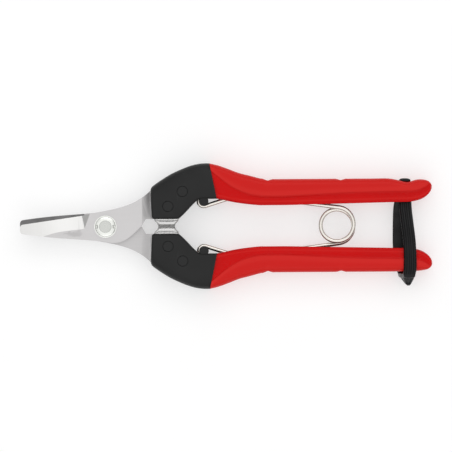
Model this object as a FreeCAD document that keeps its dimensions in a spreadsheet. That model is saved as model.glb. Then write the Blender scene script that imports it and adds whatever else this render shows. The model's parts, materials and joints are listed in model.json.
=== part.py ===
import FreeCAD, Part
import math
import os

import Sketcher
from FreeCAD import Rotation, Vector

# Picking and trimming snips with long curved blades, held shut by a rubber closing strap.
# Each half is a blade riveted in a steel channel that ends in a sleeved grip. Every piece of a half
# is drawn in the half's frame: origin on the pivot axis midway between the blades, +X towards the
# handles, +Y towards this half's own handle, +Z away from the other blade. The rear half is the
# front half turned half a turn about X. Placements carry both to the part's own frame, whose origin
# is the middle of the bottom of the whole tool.

os.makedirs("parts", exist_ok=True)
doc = FreeCAD.newDocument("Snips")

# ---------------------------------------------------------------- driving sizes, millimetres
SIZES = [
    # overall
    ("blade_reach", 39.4, "pivot axis to the blade tips"),
    ("handle_reach", 150.6, "pivot axis to the handle ends"),
    ("guard_half", 7.1, "half the thickness of the guards, which the tool lies on"),
    # blades
    ("blade_thick", 2.3, "sheet thickness of a blade"),
    ("blade_gap", 0.04, "gap between the two blades"),
    ("blade_rise", 2.4, "height that the curved tips gain"),
    ("flat_reach", 11.0, "radius round the pivot where the blades stay flat"),
    ("tip_edge", 1.2, "cutting edge over the centre line at the tip"),
    ("tip_spine", 3.3, "spine under the centre line at the tip"),
    ("tip_round", 1.5, "radius of the blunt tip's corners"),
    ("heel_x", 10.8, "pivot axis to the heel of the cutting edge"),
    ("heel_edge", 5.1, "cutting edge over the centre line at the heel"),
    ("shoulder_x", 6.9, "pivot axis to the top of the ground shoulder"),
    ("shoulder_edge", 6.2, "blade over the centre line at the top of the shoulder"),
    ("spine_mid_x", 20.0, "pivot axis to the middle of the spine"),
    ("spine_mid", 5.3, "spine under the centre line at its middle"),
    ("spine_pivot", 7.1, "spine under the centre line at the pivot"),
    ("spine_belly", 7.5, "spine under the centre line at its lowest place, behind the pivot"),
    ("edge_pivot", 7.3, "blade over the centre line at the pivot"),
    # neck and tang
    ("neck_x", 9.0, "pivot axis to the middle of the neck"),
    ("neck_top", 9.5, "neck's outer edge over the centre line at its middle"),
    ("neck_back_x", 10.4, "pivot axis to the middle of the neck's inner edge"),
    ("neck_back", 5.4, "neck's inner edge under the centre line at its middle"),
    ("neck_root", 17.1, "neck's outer edge over the centre line at the guard"),
    ("crotch_x", 16.6, "pivot axis to the corner where the two necks cross"),
    ("window_x", 18.6, "pivot axis to the upper corner of the window between the necks"),
    ("joggle_start", 16.9, "pivot axis to the bend where the neck leaves the blade's plane"),
    ("joggle_length", 3.4, "length of the sloping step in the neck"),
    ("tang_reach", 40.6, "pivot axis to the end of the tang"),
    ("tang_front", 14.0, "tang's outer edge over the centre line where it enters the guard"),
    ("tang_rear", 23.5, "tang's outer edge over the centre line at its end"),
    # pivot
    ("bolt_radius", 2.6, "radius of the pivot bolt's shank"),
    ("running_gap", 0.04, "radial clearance of the pivot bolt"),
    ("head_radius", 4.75, "radius of the pivot bolt's head"),
    ("head_top", 3.2, "radius of the flat on the head"),
    ("head_height", 1.3, "height of the head"),
    ("washer_thick", 0.4, "thickness of the spring washer"),
    ("washer_rim", 0.35, "how far the washer stands out round the head"),
    ("nut_height", 2.0, "height of the nut"),
    ("nut_flats", 7.0, "width across the flats of the nut"),
    ("seat_gap", 0.02, "gap left at each seat of the pivot"),
    # outline that the guard and the grip share
    ("guard_start", 21.4, "pivot axis to the guard's front end"),
    ("guard_nose", 17.6, "guard's outer edge over the centre line at its front end"),
    ("nose_slope", 0.82, "rise of the guard's outer edge at its front end"),
    ("guard_floor", 3.4, "guard's inner edge over the centre line at its front end"),
    ("guard_knee", 34.0, "pivot axis to the knee of the guard's inner edge"),
    ("guard_crown_x", 46.2, "pivot axis to the widest place"),
    ("guard_crown", 29.0, "guard's outer edge over the centre line at the widest place"),
    ("arch_x", 42.8, "pivot axis to the front of the arch over the spring peg"),
    ("guard_arch", 12.6, "guard's inner edge over the centre line over the spring peg"),
    ("seam_outer_x", 48.1, "pivot axis to the seam of guard and sleeve at the outer edge"),
    ("seam_inner_x", 51.4, "pivot axis to that seam at the inner edge"),
    ("grip_x", 72.0, "pivot axis to the front of the straight grip"),
    ("grip_outer", 21.5, "grip's outer edge over the centre line"),
    ("grip_inner", 9.5, "grip's inner edge over the centre line"),
    ("flare_x", 118.0, "pivot axis to the rear of the straight inner edge"),
    ("saddle_front", 130.5, "pivot axis to the front of the strap's saddle"),
    ("saddle_x", 139.2, "pivot axis to the middle of the strap's saddle"),
    ("saddle_depth", 1.7, "depth of the strap's saddle"),
    ("heel_outer_x", 146.0, "pivot axis to the rear of the saddle"),
    ("heel_drop", 0.5, "how much lower the outer edge is behind the saddle"),
    ("heel_end", 17.4, "handle end's height over the centre line"),
    ("tail_inner", 10.6, "grip's inner edge over the centre line at the saddle"),
    # sections of the handle
    ("guard_round", 2.2, "edge radius of the guard"),
    ("grip_half", 5.6, "half the thickness of the sleeved grip"),
    ("grip_round", 3.4, "edge radius of the grip"),
    ("skin", 1.2, "thickness of the sleeve and of the guard's rim round the channel"),
    ("steel", 1.2, "sheet thickness of the handle channel"),
    ("fit_gap", 0.05, "clearance of pieces that are pushed together"),
    ("front_reach", 39.4, "pivot axis to the end of the channel's pinched front"),
    ("lobe_radius", 2.2, "radius of the guard's lugs that carry the spring peg"),
    ("lobe_half", 6.4, "half the distance over both lugs"),
    # stop pads
    ("pad_start", 22.4, "pivot axis to the front of the stop pad"),
    ("pad_end", 34.0, "pivot axis to the rear of the stop pad"),
    ("pad_taper_front", 1.5, "how much the pad narrows at its front"),
    ("pad_taper_rear", 2.1, "how much the pad narrows at its rear"),
    ("pad_half", 3.6, "half the height of the stop pad"),
    ("pad_round", 2.4, "edge radius of the stop pad"),
    ("stop_gap", 0.05, "half the gap between the two stop pads"),
    # rivets
    ("rivet_one_x", 28.9, "pivot axis to the first rivet"),
    ("rivet_one_y", 9.2, "first rivet over the centre line"),
    ("rivet_two_x", 35.6, "pivot axis to the second rivet"),
    ("rivet_two_y", 16.0, "second rivet over the centre line"),
    ("rivet_radius", 1.5, "radius of a rivet's shank"),
    ("rivet_head", 2.3, "radius of a rivet's head"),
    ("rivet_sink", 0.3, "depth of a rivet's head under the guard's face"),
    ("rivet_head_high", 1.2, "height of a rivet's head"),
    # spring
    ("peg_x", 45.4, "pivot axis to the spring peg"),
    ("peg_y", 11.5, "spring peg over the centre line"),
    ("peg_radius", 1.2, "radius of the spring peg"),
    ("peg_half", 5.4, "half the length of the spring peg"),
    ("wire_radius", 1.0, "radius of the spring wire"),
    ("hook_gap", 0.15, "clearance of the spring's hook on its peg"),
    ("hook_end_angle", 130.0, "direction of the hook's end seen from the peg, degrees"),
    ("hook_lead_angle", 17.7, "slope of the arm where it leaves the hook, degrees"),
    ("coil_x", 106.9, "pivot axis to the coil's centre"),
    ("coil_radius", 7.6, "mean radius of the coil"),
    ("coil_pitch", 2.16, "height of one turn"),
    ("coil_lead_angle", 7.7, "slope of the arm where it leaves the coil, degrees"),
    ("coil_slit_angle", 10.0, "half of the slit between the coil's two halves, degrees"),
    ("arm_bend", 30.0, "radius of the bend in the arm"),
    # strap
    ("strap_x", 138.6, "pivot axis to the strap"),
    ("strap_width", 6.0, "width of the strap"),
    ("strap_thick", 1.35, "thickness of a strand"),
    ("strap_slack", 0.15, "clearance of a strand on the grip"),
    ("strap_top", 13.4, "strap's upper end over the centre line, where it flexes"),
    ("strap_neck", 2.4, "half the thickness of the strap in the channel's mouth"),
    ("strap_split", 7.0, "where the strands part, over the centre line"),
    ("strap_seat", 2.9, "thickness of the strap under the rear half's handle"),
    ("strap_tab", 28.7, "centre line to the end of the strap's finger tab"),
    ("tab_width", 4.0, "width of the finger tab at its end"),
    ("knob_radius", 2.8, "radius of the strap's knob"),
    ("knob_height", 1.6, "height of the strap's knob over the saddle"),
    ("stem_radius", 1.5, "radius of the stem under the knob"),
]

sheet = doc.addObject("Spreadsheet::Sheet", "Sizes")
for row, (alias, value, meaning) in enumerate(SIZES, start=1):
    sheet.set(f"A{row}", meaning)
    sheet.set(f"B{row}", str(value))
    sheet.setAlias(f"B{row}", alias)
doc.recompute()


class Size:
    """A length that knows its value and the spreadsheet expression that gives it."""

    def __init__(self, value, text):
        self.value = float(value)
        self.text = text

    def __add__(self, other):
        other = as_size(other)
        return Size(self.value + other.value, f"({self.text} + {other.text})")

    def __sub__(self, other):
        other = as_size(other)
        return Size(self.value - other.value, f"({self.text} - {other.text})")

    def __mul__(self, factor):
        return Size(self.value * factor, f"({self.text} * {factor})")

    def __truediv__(self, factor):
        return Size(self.value / factor, f"({self.text} / {factor})")

    def __neg__(self):
        return Size(-self.value, f"(-1 * {self.text})")

    def __float__(self):
        return self.value


def as_size(number):
    return number if isinstance(number, Size) else Size(number, repr(float(number)))


class Cells:
    """Reads the spreadsheet: S.blade_reach is that cell as a Size."""

    def __getattr__(self, alias):
        return Size(float(sheet.get(alias)), f"Sizes.{alias}")


S = Cells()
ZERO = as_size(0)
FAR = S.handle_reach + S.blade_reach


def bind(feature, prop, length):
    """Ties a property of a feature to the spreadsheet."""
    feature.setExpression(prop, as_size(length).text)


# ---------------------------------------------------------------- drawing helpers
def new_body(name):
    return doc.addObject("PartDesign::Body", name)


def body_sketch(body, role="XY_Plane"):
    plane = [feature for feature in body.Origin.OriginFeatures if feature.Role == role][0]
    sketch = body.newObject("Sketcher::SketchObject", "Sketch")
    sketch.AttachmentSupport = (plane, [""])
    sketch.MapMode = "FlatFace"
    return sketch


def point(x, y):
    return Vector(float(x), float(y), 0)


def polyline(sketch, corners):
    """Draws a closed outline of straight lines, each corner tied to the spreadsheet."""
    corners = [(as_size(x), as_size(y)) for x, y in corners]
    count = len(corners)
    for i in range(count):
        sketch.addGeometry(Part.LineSegment(point(*corners[i]), point(*corners[(i + 1) % count])), False)
    for i in range(count):
        sketch.addConstraint(Sketcher.Constraint("Coincident", i, 2, (i + 1) % count, 1))
    for i, corner in enumerate(corners):
        for kind, axis, length in (("DistanceX", -2, corner[0]), ("DistanceY", -1, corner[1])):
            if abs(length.value) < 1e-9:
                sketch.addConstraint(Sketcher.Constraint("PointOnObject", i, 1, axis))
                continue
            index = sketch.addConstraint(Sketcher.Constraint(kind, -1, 1, i, 1, length.value))
            sketch.setExpression(f"Constraints[{index}]", length.text)


def curved_outline(sketch, runs):
    """Draws a closed outline whose runs are straight or smooth. A run is a list of places
    (x, y) or (x, y, direction), and it starts where the run before it ends."""
    curves = []
    for run in runs:
        places = [point(place[0], place[1]) for place in run]
        if all(len(place) == 2 for place in run) and len(run) == 2:
            curves.append(Part.LineSegment(*places))
            continue
        spread = sum((b - a).Length for a, b in zip(places, places[1:])) / (len(places) - 1)
        known = [len(place) == 3 for place in run]
        slopes = [Vector(*place[2], 0).normalize() * spread if fixed else Vector()
                  for place, fixed in zip(run, known)]
        spline = Part.BSplineCurve()
        spline.interpolate(Points=places, Tangents=slopes, TangentFlags=known)
        curves.append(spline)
    ids = [sketch.addGeometry(curve, False) for curve in curves]
    for this, after in zip(ids, ids[1:] + ids[:1]):
        sketch.addConstraint(Sketcher.Constraint("Coincident", this, 2, after, 1))


def pad(body, sketch, length):
    """Thickens a sketch by the same amount to both sides."""
    feature = body.newObject("PartDesign::Pad", "Pad")
    feature.Profile = sketch
    feature.Midplane = True
    bind(feature, "Length", length)
    return feature


def revolve(body, sketch):
    """Turns a sketch round the Z axis."""
    feature = body.newObject("PartDesign::Revolution", "Revolution")
    feature.Profile = sketch
    feature.ReferenceAxis = (sketch, ["V_Axis"])
    feature.Angle = 360.0
    return feature


def dress(body, base, kind, size, chosen):
    """Fillets or chamfers the edges that chosen(edge) picks."""
    doc.recompute()
    names = [f"Edge{i}" for i, edge in enumerate(base.Shape.Edges, start=1) if chosen(edge)]
    feature = body.newObject(f"PartDesign::{kind}", kind)
    feature.Base = (base, names)
    bind(feature, "Radius" if kind == "Fillet" else "Size", size)
    return feature


def lies_at(height):
    """Picks the edges that lie flat this far from the mid plane, on either side."""

    def chosen(edge):
        box = edge.BoundBox
        return abs(abs(box.ZMin) - height) < 1e-6 and box.ZLength < 1e-6

    return chosen


def join(kind, name, base, *tools):
    """Part booleans, one tool after another: Cut, Fuse or Common."""
    for tool in tools:
        feature = doc.addObject(f"Part::{kind}", name)
        feature.Base = base
        feature.Tool = tool
        base = feature
    return base


def cylinder(name, radius, z, x=ZERO, y=ZERO):
    """A cylinder along Z between two heights."""
    low, high = as_size(z[0]), as_size(z[1])
    feature = doc.addObject("Part::Cylinder", name)
    bind(feature, "Radius", radius)
    bind(feature, "Height", high - low)
    for axis, length in zip("xyz", (x, y, low)):
        bind(feature, f"Placement.Base.{axis}", length)
    return feature


def block(name, x, y, z):
    """A box between two lengths along each axis."""
    feature = doc.addObject("Part::Box", name)
    for (low, high), side, axis in zip((x, y, z), ("Length", "Width", "Height"), "xyz"):
        low, high = as_size(low), as_size(high)
        bind(feature, side, high - low)
        bind(feature, f"Placement.Base.{axis}", low)
    return feature


def slab(name, half, corners):
    """A plate of straight-edged outline, half its thickness to each side of the mid plane."""
    body = new_body(name)
    sketch = body_sketch(body)
    polyline(sketch, corners)
    pad(body, sketch, half * 2)
    return body


# ---------------------------------------------------------------- finished pieces
pieces = []


def keep(feature, label, turned=False):
    """Gives a finished feature its label and carries it to the part's own frame."""
    piece = doc.addObject("Part::Refine", label)
    piece.Source = feature
    piece.Label = label
    if turned:
        piece.Placement.Rotation = Rotation(Vector(1, 0, 0), 180)
    bind(piece, "Placement.Base.x", (S.blade_reach - S.handle_reach) / 2)
    bind(piece, "Placement.Base.z", S.guard_half)
    pieces.append(piece)


def keep_pair(feature, name):
    """Keeps the same piece for both halves of the tool."""
    keep(feature, f"upper_{name}")
    keep(feature, f"lower_{name}", turned=True)


# ---------------------------------------------------------------- blades
def blade_outline(sketch, flip):
    """Plan of a blade, its neck and its tang; flip is -1 for the half turned about X."""

    def place(x, y, *direction):
        moved = (float(x), flip * float(y))
        if direction:
            moved += ((direction[0], flip * direction[1]),)
        return moved

    tip, r = -float(S.blade_reach), float(S.tip_round)
    heel = place(-S.heel_x, S.heel_edge)
    shoulder = place(-S.shoulder_x, S.shoulder_edge)
    corner = place(S.guard_start - S.fit_gap, S.neck_root)
    front_foot = place(S.guard_start - S.fit_gap, S.tang_front)
    knee = place(S.guard_knee, S.guard_floor)
    end_low = place(S.tang_reach, S.guard_arch)
    edge_tip = place(tip + r, S.tip_edge, -1.0, -0.1)
    spine_tip = place(tip + r, -S.tip_spine, 1.0, -0.15)
    nose = place(tip, (S.tip_edge - S.tip_spine) / 2, 0.0, -1.0)
    crotch = place(S.crotch_x, 0, 0.8, 0.6)
    curved_outline(sketch, [
        [edge_tip, nose, spine_tip],
        [spine_tip, place(-S.spine_mid_x, -S.spine_mid), place(0, -S.spine_pivot),
         place(S.neck_x / 2, -S.spine_belly, 1.0, 0.05), place(S.neck_back_x, -S.neck_back), crotch],
        [crotch[:2], place(S.window_x, S.guard_floor)],
        [place(S.window_x, S.guard_floor), knee],
        [knee, end_low],
        [end_low, place(S.tang_reach, S.tang_rear)],
        [place(S.tang_reach, S.tang_rear), front_foot],
        [front_foot, corner],
        [corner, place(S.neck_x, S.neck_top), place(0, S.edge_pivot),
         shoulder + ((-1.0, -0.12 * flip),)],
        [shoulder, heel],
        [heel, edge_tip[:2]],
    ])


def curved_layer(name, low, high):
    """The space between two heights over the surface that the blades slide on. That surface is
    flat round the pivot and rises as a surface of revolution, so the halves stay in contact."""
    flat, far = S.flat_reach, S.blade_reach + 1

    def rise(r):
        reach = float(S.blade_reach - S.flat_reach)
        return float(S.blade_rise) * ((r - float(flat)) / reach) ** 2

    mid = (float(flat) + float(far)) / 2
    body = new_body(name)
    sketch = body_sketch(body, "XZ_Plane")

    def edge(height, forward):
        places = [(flat, float(height), (1.0, 0.0)), (mid, float(height) + rise(mid)),
                  (far, float(height) + rise(float(far)))]
        if forward:
            return places
        return [places[2], places[1], (flat, float(height), (-1.0, 0.0))]

    top, bottom = float(high), float(low)
    curved_outline(sketch, [
        [(0, bottom), (flat, bottom)],
        edge(bottom, True),
        [(far, bottom + rise(float(far))), (far, top + rise(float(far)))],
        edge(top, False),
        [(flat, top), (0, top)],
        [(0, top), (0, bottom)],
    ])
    revolve(body, sketch)
    return body


def joggled_layer(name, top, bottom):
    """The plate behind the pivot: level with the blade first, then stepped to the mid plane."""
    body = new_body(name)
    sketch = body_sketch(body, "XZ_Plane")
    half = S.blade_thick / 2
    bend = S.joggle_start + S.joggle_length
    polyline(sketch, [
        (ZERO, bottom), (S.joggle_start, bottom), (bend, -half), (S.guard_crown_x, -half),
        (S.guard_crown_x, half), (bend, half), (S.joggle_start, top), (ZERO, top),
    ])
    pad(body, sketch, S.guard_crown * 4)
    return body


def blade(label, sign):
    """One blade in the front half's frame; sign is 1 for the front blade, -1 for the rear one."""
    near, far = S.blade_gap / 2, S.blade_gap / 2 + S.blade_thick
    low, high = (near, far) if sign > 0 else (-far, -near)
    plan = new_body(f"{label}_plan")
    sketch = body_sketch(plan)
    blade_outline(sketch, sign)
    pad(plan, sketch, S.guard_half * 2)
    front_layer = curved_layer(f"{label}_curve", low, high)
    front_space = block(f"{label}_front", (-FAR, ZERO), (-FAR, FAR), (-FAR, FAR))
    rear_layer = joggled_layer(f"{label}_joggle", high, low)
    front = join("Common", f"{label}_front_layer", front_layer, front_space)
    sheet_metal = join("Fuse", f"{label}_sheet", front, rear_layer)
    cut = join("Common", f"{label}_cut", plan, sheet_metal)
    bore = cylinder(f"{label}_bore", S.bolt_radius + S.running_gap, (-S.guard_half, S.guard_half))
    holes = rivet_holes(label, sign, S.rivet_radius + S.fit_gap)
    return join("Cut", label, cut, bore, *holes)


def rivet_holes(label, sign, radius):
    places = ((S.rivet_one_x, S.rivet_one_y), (S.rivet_two_x, S.rivet_two_y))
    return [cylinder(f"{label}_hole", radius, (-S.guard_half, S.guard_half), x, y * sign)
            for x, y in places]


# ---------------------------------------------------------------- outline of guard and grip
def drawn_in(runs, inset):
    """Moves every place of a closed outline inwards by an amount square to the outline. The
    outline runs clockwise, and smooth runs give a direction at each of their places."""

    def heading(run, i):
        if len(run[i]) == 3:
            return Vector(*run[i][2], 0).normalize()
        j = min(i, len(run) - 2)
        return (point(*run[j + 1][:2]) - point(*run[j][:2])).normalize()

    moved = []
    for n, run in enumerate(runs):
        places = []
        for i, place in enumerate(run):
            before = after = heading(run, i)
            if i == 0:
                before = heading(runs[n - 1], len(runs[n - 1]) - 1)
            if i == len(run) - 1:
                after = heading(runs[(n + 1) % len(runs)], 0)
            inward = Vector(before.y + after.y, -before.x - after.x, 0).normalize()
            reach = float(inset) / inward.dot(Vector(before.y, -before.x, 0))
            there = point(*place[:2]) + inward * reach
            places.append((there.x, there.y) + tuple(place[2:]))
        moved.append(places)
    return moved


def handle_outline(sketch, inset, saddled):
    """Plan of a half's handle from the guard's front end to the grip's round end, drawn in by an
    amount all round. Only the upper handle is saddled, for the strap's knob."""
    nose = (S.guard_start, S.guard_nose, (1.0, float(S.nose_slope)))
    crown = (S.guard_crown_x, S.guard_crown, (1.0, 0.0))
    grip = (S.grip_x, S.grip_outer, (1.0, 0.0))
    saddle_front = (S.saddle_front, S.grip_outer, (1.0, 0.0))
    saddle = (S.saddle_x, S.grip_outer - S.saddle_depth, (1.0, 0.0))
    heel = (S.heel_outer_x, S.grip_outer - S.heel_drop, (1.0, 0.0))
    end = (S.handle_reach, S.heel_end, (0.0, -1.0))
    tail = (S.saddle_x, S.tail_inner, (-1.0, -0.08))
    flare = (S.flare_x, S.grip_inner, (-1.0, 0.0))
    front_inner = (S.grip_x, S.grip_inner, (-1.0, 0.0))
    seam = (S.seam_inner_x, S.guard_arch, (-1.0, 0.1))
    back = [saddle_front, saddle, heel] if saddled else [saddle_front, heel]
    curved_outline(sketch, drawn_in([
        [nose, crown],
        [crown, grip],
        [grip[:2], saddle_front[:2]],
        back,
        [heel, end],
        [end, tail],
        [tail, flare],
        [flare[:2], front_inner[:2]],
        [front_inner, seam],
        [seam[:2], (S.arch_x, S.guard_arch)],
        [(S.arch_x, S.guard_arch), (S.guard_knee, S.guard_floor)],
        [(S.guard_knee, S.guard_floor), (S.guard_start, S.guard_floor)],
        [(S.guard_start, S.guard_floor), nose[:2]],
    ], inset))


def handle_blank(name, half, edge_round, saddled):
    """The handle's plan, thickened and rounded along both faces."""
    body = new_body(name)
    sketch = body_sketch(body)
    handle_outline(sketch, ZERO, saddled)
    base = pad(body, sketch, half * 2)
    dress(body, base, "Fillet", edge_round, lies_at(half.value))
    return body


def inset_blank(name, inset, half, saddled):
    """The handle's plan, drawn in by an amount all round and thickened."""
    body = new_body(name)
    sketch = body_sketch(body)
    handle_outline(sketch, inset, saddled)
    pad(body, sketch, half * 2)
    return body


def seam_side(name, rear):
    """Everything in front of the seam between guard and sleeve, or everything behind it."""
    edge = FAR if rear else -FAR
    tilt = (S.seam_outer_x - S.seam_inner_x).value / (S.guard_crown - S.guard_arch).value
    low, high = S.guard_arch - FAR, S.guard_crown + FAR
    return slab(name, FAR, [
        (edge, low), (S.seam_inner_x - FAR * tilt, low), (S.seam_outer_x + FAR * tilt, high),
        (edge, high),
    ])


# ---------------------------------------------------------------- channel
channel_half = S.grip_half - S.skin
mouth_half = channel_half - S.steel
pinch_inner = S.blade_thick / 2 + S.fit_gap
pinch_outer = pinch_inner + S.steel


def channel_space(name, gap, saddled):
    """The room that the channel fills, drawn out by a clearance; its front is pinched."""
    wide = inset_blank(f"{name}_wide", S.skin - gap, channel_half + gap, saddled)
    thin = inset_blank(f"{name}_thin", S.skin - gap, pinch_outer + gap, saddled)
    behind = block(f"{name}_behind", (S.front_reach - S.steel - gap, FAR), (-FAR, FAR), (-FAR, FAR))
    return join("Fuse", f"{name}_space", thin, join("Common", f"{name}_rear", wide, behind))


def channel(name, saddled):
    """U-shaped steel channel, open on its inner side and pinched on to the blade's tang."""
    inside = inset_blank(f"{name}_inside", S.skin + S.steel, mouth_half, saddled)
    rear = block(f"{name}_rear_inside", (S.front_reach, FAR), (-FAR, FAR), (-FAR, FAR))
    tools = [
        join("Common", f"{name}_hollow", inside, rear),
        mouth_opening(f"{name}_mouth", S.front_reach),
        tang_slot(f"{name}_tang", S.front_reach),
        *rivet_holes(name, 1, S.rivet_radius + S.fit_gap),
    ]
    if saddled:
        tools.append(strap_bore(f"{name}_stem", S.stem_radius + S.fit_gap, S.strap_top))
    return join("Cut", f"{name}_cut", channel_space(name, ZERO, saddled), *tools)


def mouth_opening(name, start):
    """The slot along the inner side that lets the spring and the strap in."""
    return slab(name, mouth_half, [
        (start, ZERO), (start, S.heel_end), (S.seam_inner_x, S.heel_end),
        (S.grip_x, (S.grip_inner + S.grip_outer) / 2), (S.heel_outer_x, (S.grip_inner + S.grip_outer) / 2),
        (S.heel_outer_x, ZERO),
    ])


def tang_slot(name, end):
    return slab(name, pinch_inner, [
        (ZERO, ZERO), (end, ZERO), (end, S.tang_rear + S.fit_gap * 2),
        (S.guard_start - S.fit_gap, S.tang_front + S.fit_gap * 4), (ZERO, S.tang_front),
    ])


def strap_bore(name, radius, low):
    """A round hole through the handle's outer side, over the strap and down to a height."""
    body = new_body(name)
    sketch = body_sketch(body, "XZ_Plane")
    ring = sketch.addGeometry(Part.Circle(point(S.strap_x, 0), Vector(0, 0, 1), float(radius)), False)
    place = sketch.addConstraint(Sketcher.Constraint("DistanceX", -1, 1, ring, 3, S.strap_x.value))
    sketch.setExpression(f"Constraints[{place}]", S.strap_x.text)
    sketch.addConstraint(Sketcher.Constraint("PointOnObject", ring, 3, -1))
    size = sketch.addConstraint(Sketcher.Constraint("Radius", ring, float(radius)))
    sketch.setExpression(f"Constraints[{size}]", radius.text)
    hole = body.newObject("PartDesign::Pad", "Pad")
    hole.Profile = sketch
    hole.Reversed = True
    bind(hole, "Length", S.guard_crown)
    below = block(f"{name}_below", (-FAR, FAR), (-FAR, low), (-FAR, FAR))
    return join("Cut", f"{name}_cut", body, below)


# ---------------------------------------------------------------- guard and sleeve
def guard():
    """Moulded guard in two shells that meet in the mid plane, with lugs for the spring peg."""
    blank = handle_blank("guard_blank", S.guard_half, S.guard_round, True)
    lug = cylinder("guard_lug", S.lobe_radius, (-S.lobe_half, S.lobe_half), S.peg_x, S.peg_y)
    solid = join("Common", "guard_solid", join("Fuse", "guard_lugs", blank, lug),
                 seam_side("guard_side", False))
    tools = [
        channel_space("guard_channel", S.fit_gap, True),
        mouth_opening("guard_mouth", S.tang_reach + S.fit_gap),
        tang_slot("guard_tang", S.tang_reach + S.fit_gap),
        cylinder("guard_peg", S.peg_radius + S.fit_gap, (-S.peg_half - S.fit_gap, S.peg_half + S.fit_gap),
                 S.peg_x, S.peg_y),
        *rivet_holes("guard", 1, S.rivet_radius + S.fit_gap),
        *rivet_head_rooms(),
    ]
    hollow = join("Cut", "guard_hollow", solid, *tools)
    for here, turned, span in (("front", "rear", (ZERO, FAR)), ("rear", "front", (-FAR, ZERO))):
        side = block(f"guard_{here}_side", (-FAR, FAR), (-FAR, FAR), span)
        shell = join("Common", f"guard_{here}", hollow, side)
        keep(shell, f"upper_guard_{here}")
        keep(shell, f"lower_guard_{turned}", turned=True)


def rivet_head_rooms():
    rooms = []
    for x, y in ((S.rivet_one_x, S.rivet_one_y), (S.rivet_two_x, S.rivet_two_y)):
        low = S.guard_half - S.rivet_sink - S.rivet_head_high
        rooms.append(cylinder("rivet_room", S.rivet_head + S.fit_gap, (low, S.guard_half * 2), x, y))
        rooms.append(cylinder("rivet_room", S.rivet_head + S.fit_gap, (-S.guard_half * 2, -low), x, y))
    return rooms


knob_seat = S.grip_outer - S.saddle_depth + S.fit_gap


def sleeve(name, saddled):
    """Dipped sleeve round the channel, open along the inner side like the channel."""
    blank = handle_blank(f"{name}_blank", S.grip_half, S.grip_round, saddled)
    tools = [
        channel_space(f"{name}_channel", S.fit_gap, saddled),
        mouth_opening(f"{name}_mouth", S.arch_x),
    ]
    if saddled:
        tools += [
            strap_bore(f"{name}_stem", S.stem_radius + S.fit_gap, S.strap_top),
            strap_bore(f"{name}_knob", S.knob_radius + S.fit_gap, knob_seat - S.fit_gap),
        ]
    side = join("Common", f"{name}_solid", blank, seam_side(f"{name}_side", True))
    return join("Cut", f"{name}_cut", side, *tools)


# ---------------------------------------------------------------- stop pads and rivets
def stop_pad():
    """Rounded steel pad on the tang's inner edge; the two pads meet when the tool is shut."""
    body = new_body("stop_pad")
    sketch = body_sketch(body)
    floor = S.guard_floor - S.seat_gap
    polyline(sketch, [
        (S.pad_start, floor), (S.pad_start + S.pad_taper_front, S.stop_gap),
        (S.pad_end - S.pad_taper_rear, S.stop_gap), (S.pad_end, floor),
    ])
    base = pad(body, sketch, S.pad_half * 2)

    def meeting_edge(edge):
        box = edge.BoundBox
        return lies_at(S.pad_half.value)(edge) and box.YMax < S.stop_gap.value + 1e-6

    dress(body, base, "Fillet", S.pad_round, meeting_edge)
    return body


def rivets():
    """Two steel rivets through guard, channel and tang, with sunk heads."""
    parts = []
    top = S.guard_half - S.rivet_sink
    low = top - S.rivet_head_high
    for x, y in ((S.rivet_one_x, S.rivet_one_y), (S.rivet_two_x, S.rivet_two_y)):
        shank = cylinder("rivet_shank", S.rivet_radius, (-top, top), x, y)
        heads = [cylinder("rivet_head", S.rivet_head, span, x, y) for span in ((low, top), (-top, -low))]
        parts.append(join("Fuse", "rivet", shank, *heads))
    group = doc.addObject("Part::Compound", "rivets")
    group.Links = parts
    return group


# ---------------------------------------------------------------- pivot
blade_top = S.blade_gap / 2 + S.blade_thick
washer_low = blade_top + S.seat_gap
head_low = washer_low + S.washer_thick + S.seat_gap


def pivot_bolt():
    """Bolt with a low conical head over the front blade; its shank reaches through the nut."""
    body = new_body("bolt_turned")
    sketch = body_sketch(body, "XZ_Plane")
    end = -(blade_top + S.seat_gap + S.nut_height)
    polyline(sketch, [
        (ZERO, end), (S.bolt_radius, end), (S.bolt_radius, head_low), (S.head_radius, head_low),
        (S.head_radius, head_low + S.head_height / 2), (S.head_top, head_low + S.head_height),
        (ZERO, head_low + S.head_height),
    ])
    revolve(body, sketch)
    return body


def pivot_washer():
    radius = S.head_radius + S.washer_rim
    ring = cylinder("washer_ring", radius, (washer_low, washer_low + S.washer_thick))
    hole = cylinder("washer_hole", S.bolt_radius + S.running_gap, (washer_low, head_low))
    return join("Cut", "washer_cut", ring, hole)


def pivot_nut():
    """Thin six-sided nut under the rear blade."""
    top = -(blade_top + S.seat_gap)
    prism = doc.addObject("Part::Prism", "nut_prism")
    prism.Polygon = 6
    bind(prism, "Circumradius", S.nut_flats / math.sqrt(3))
    bind(prism, "Height", S.nut_height)
    bind(prism, "Placement.Base.z", top - S.nut_height)
    bore = cylinder("nut_bore", S.bolt_radius, (top - S.nut_height * 2, top + S.nut_height))
    return join("Cut", "nut_cut", prism, bore)


# ---------------------------------------------------------------- spring
def turn_about(centre, radius, degrees):
    angle = math.radians(degrees)
    return Vector(centre.x + radius * math.cos(angle), centre.y + radius * math.sin(angle), centre.z)


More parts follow.
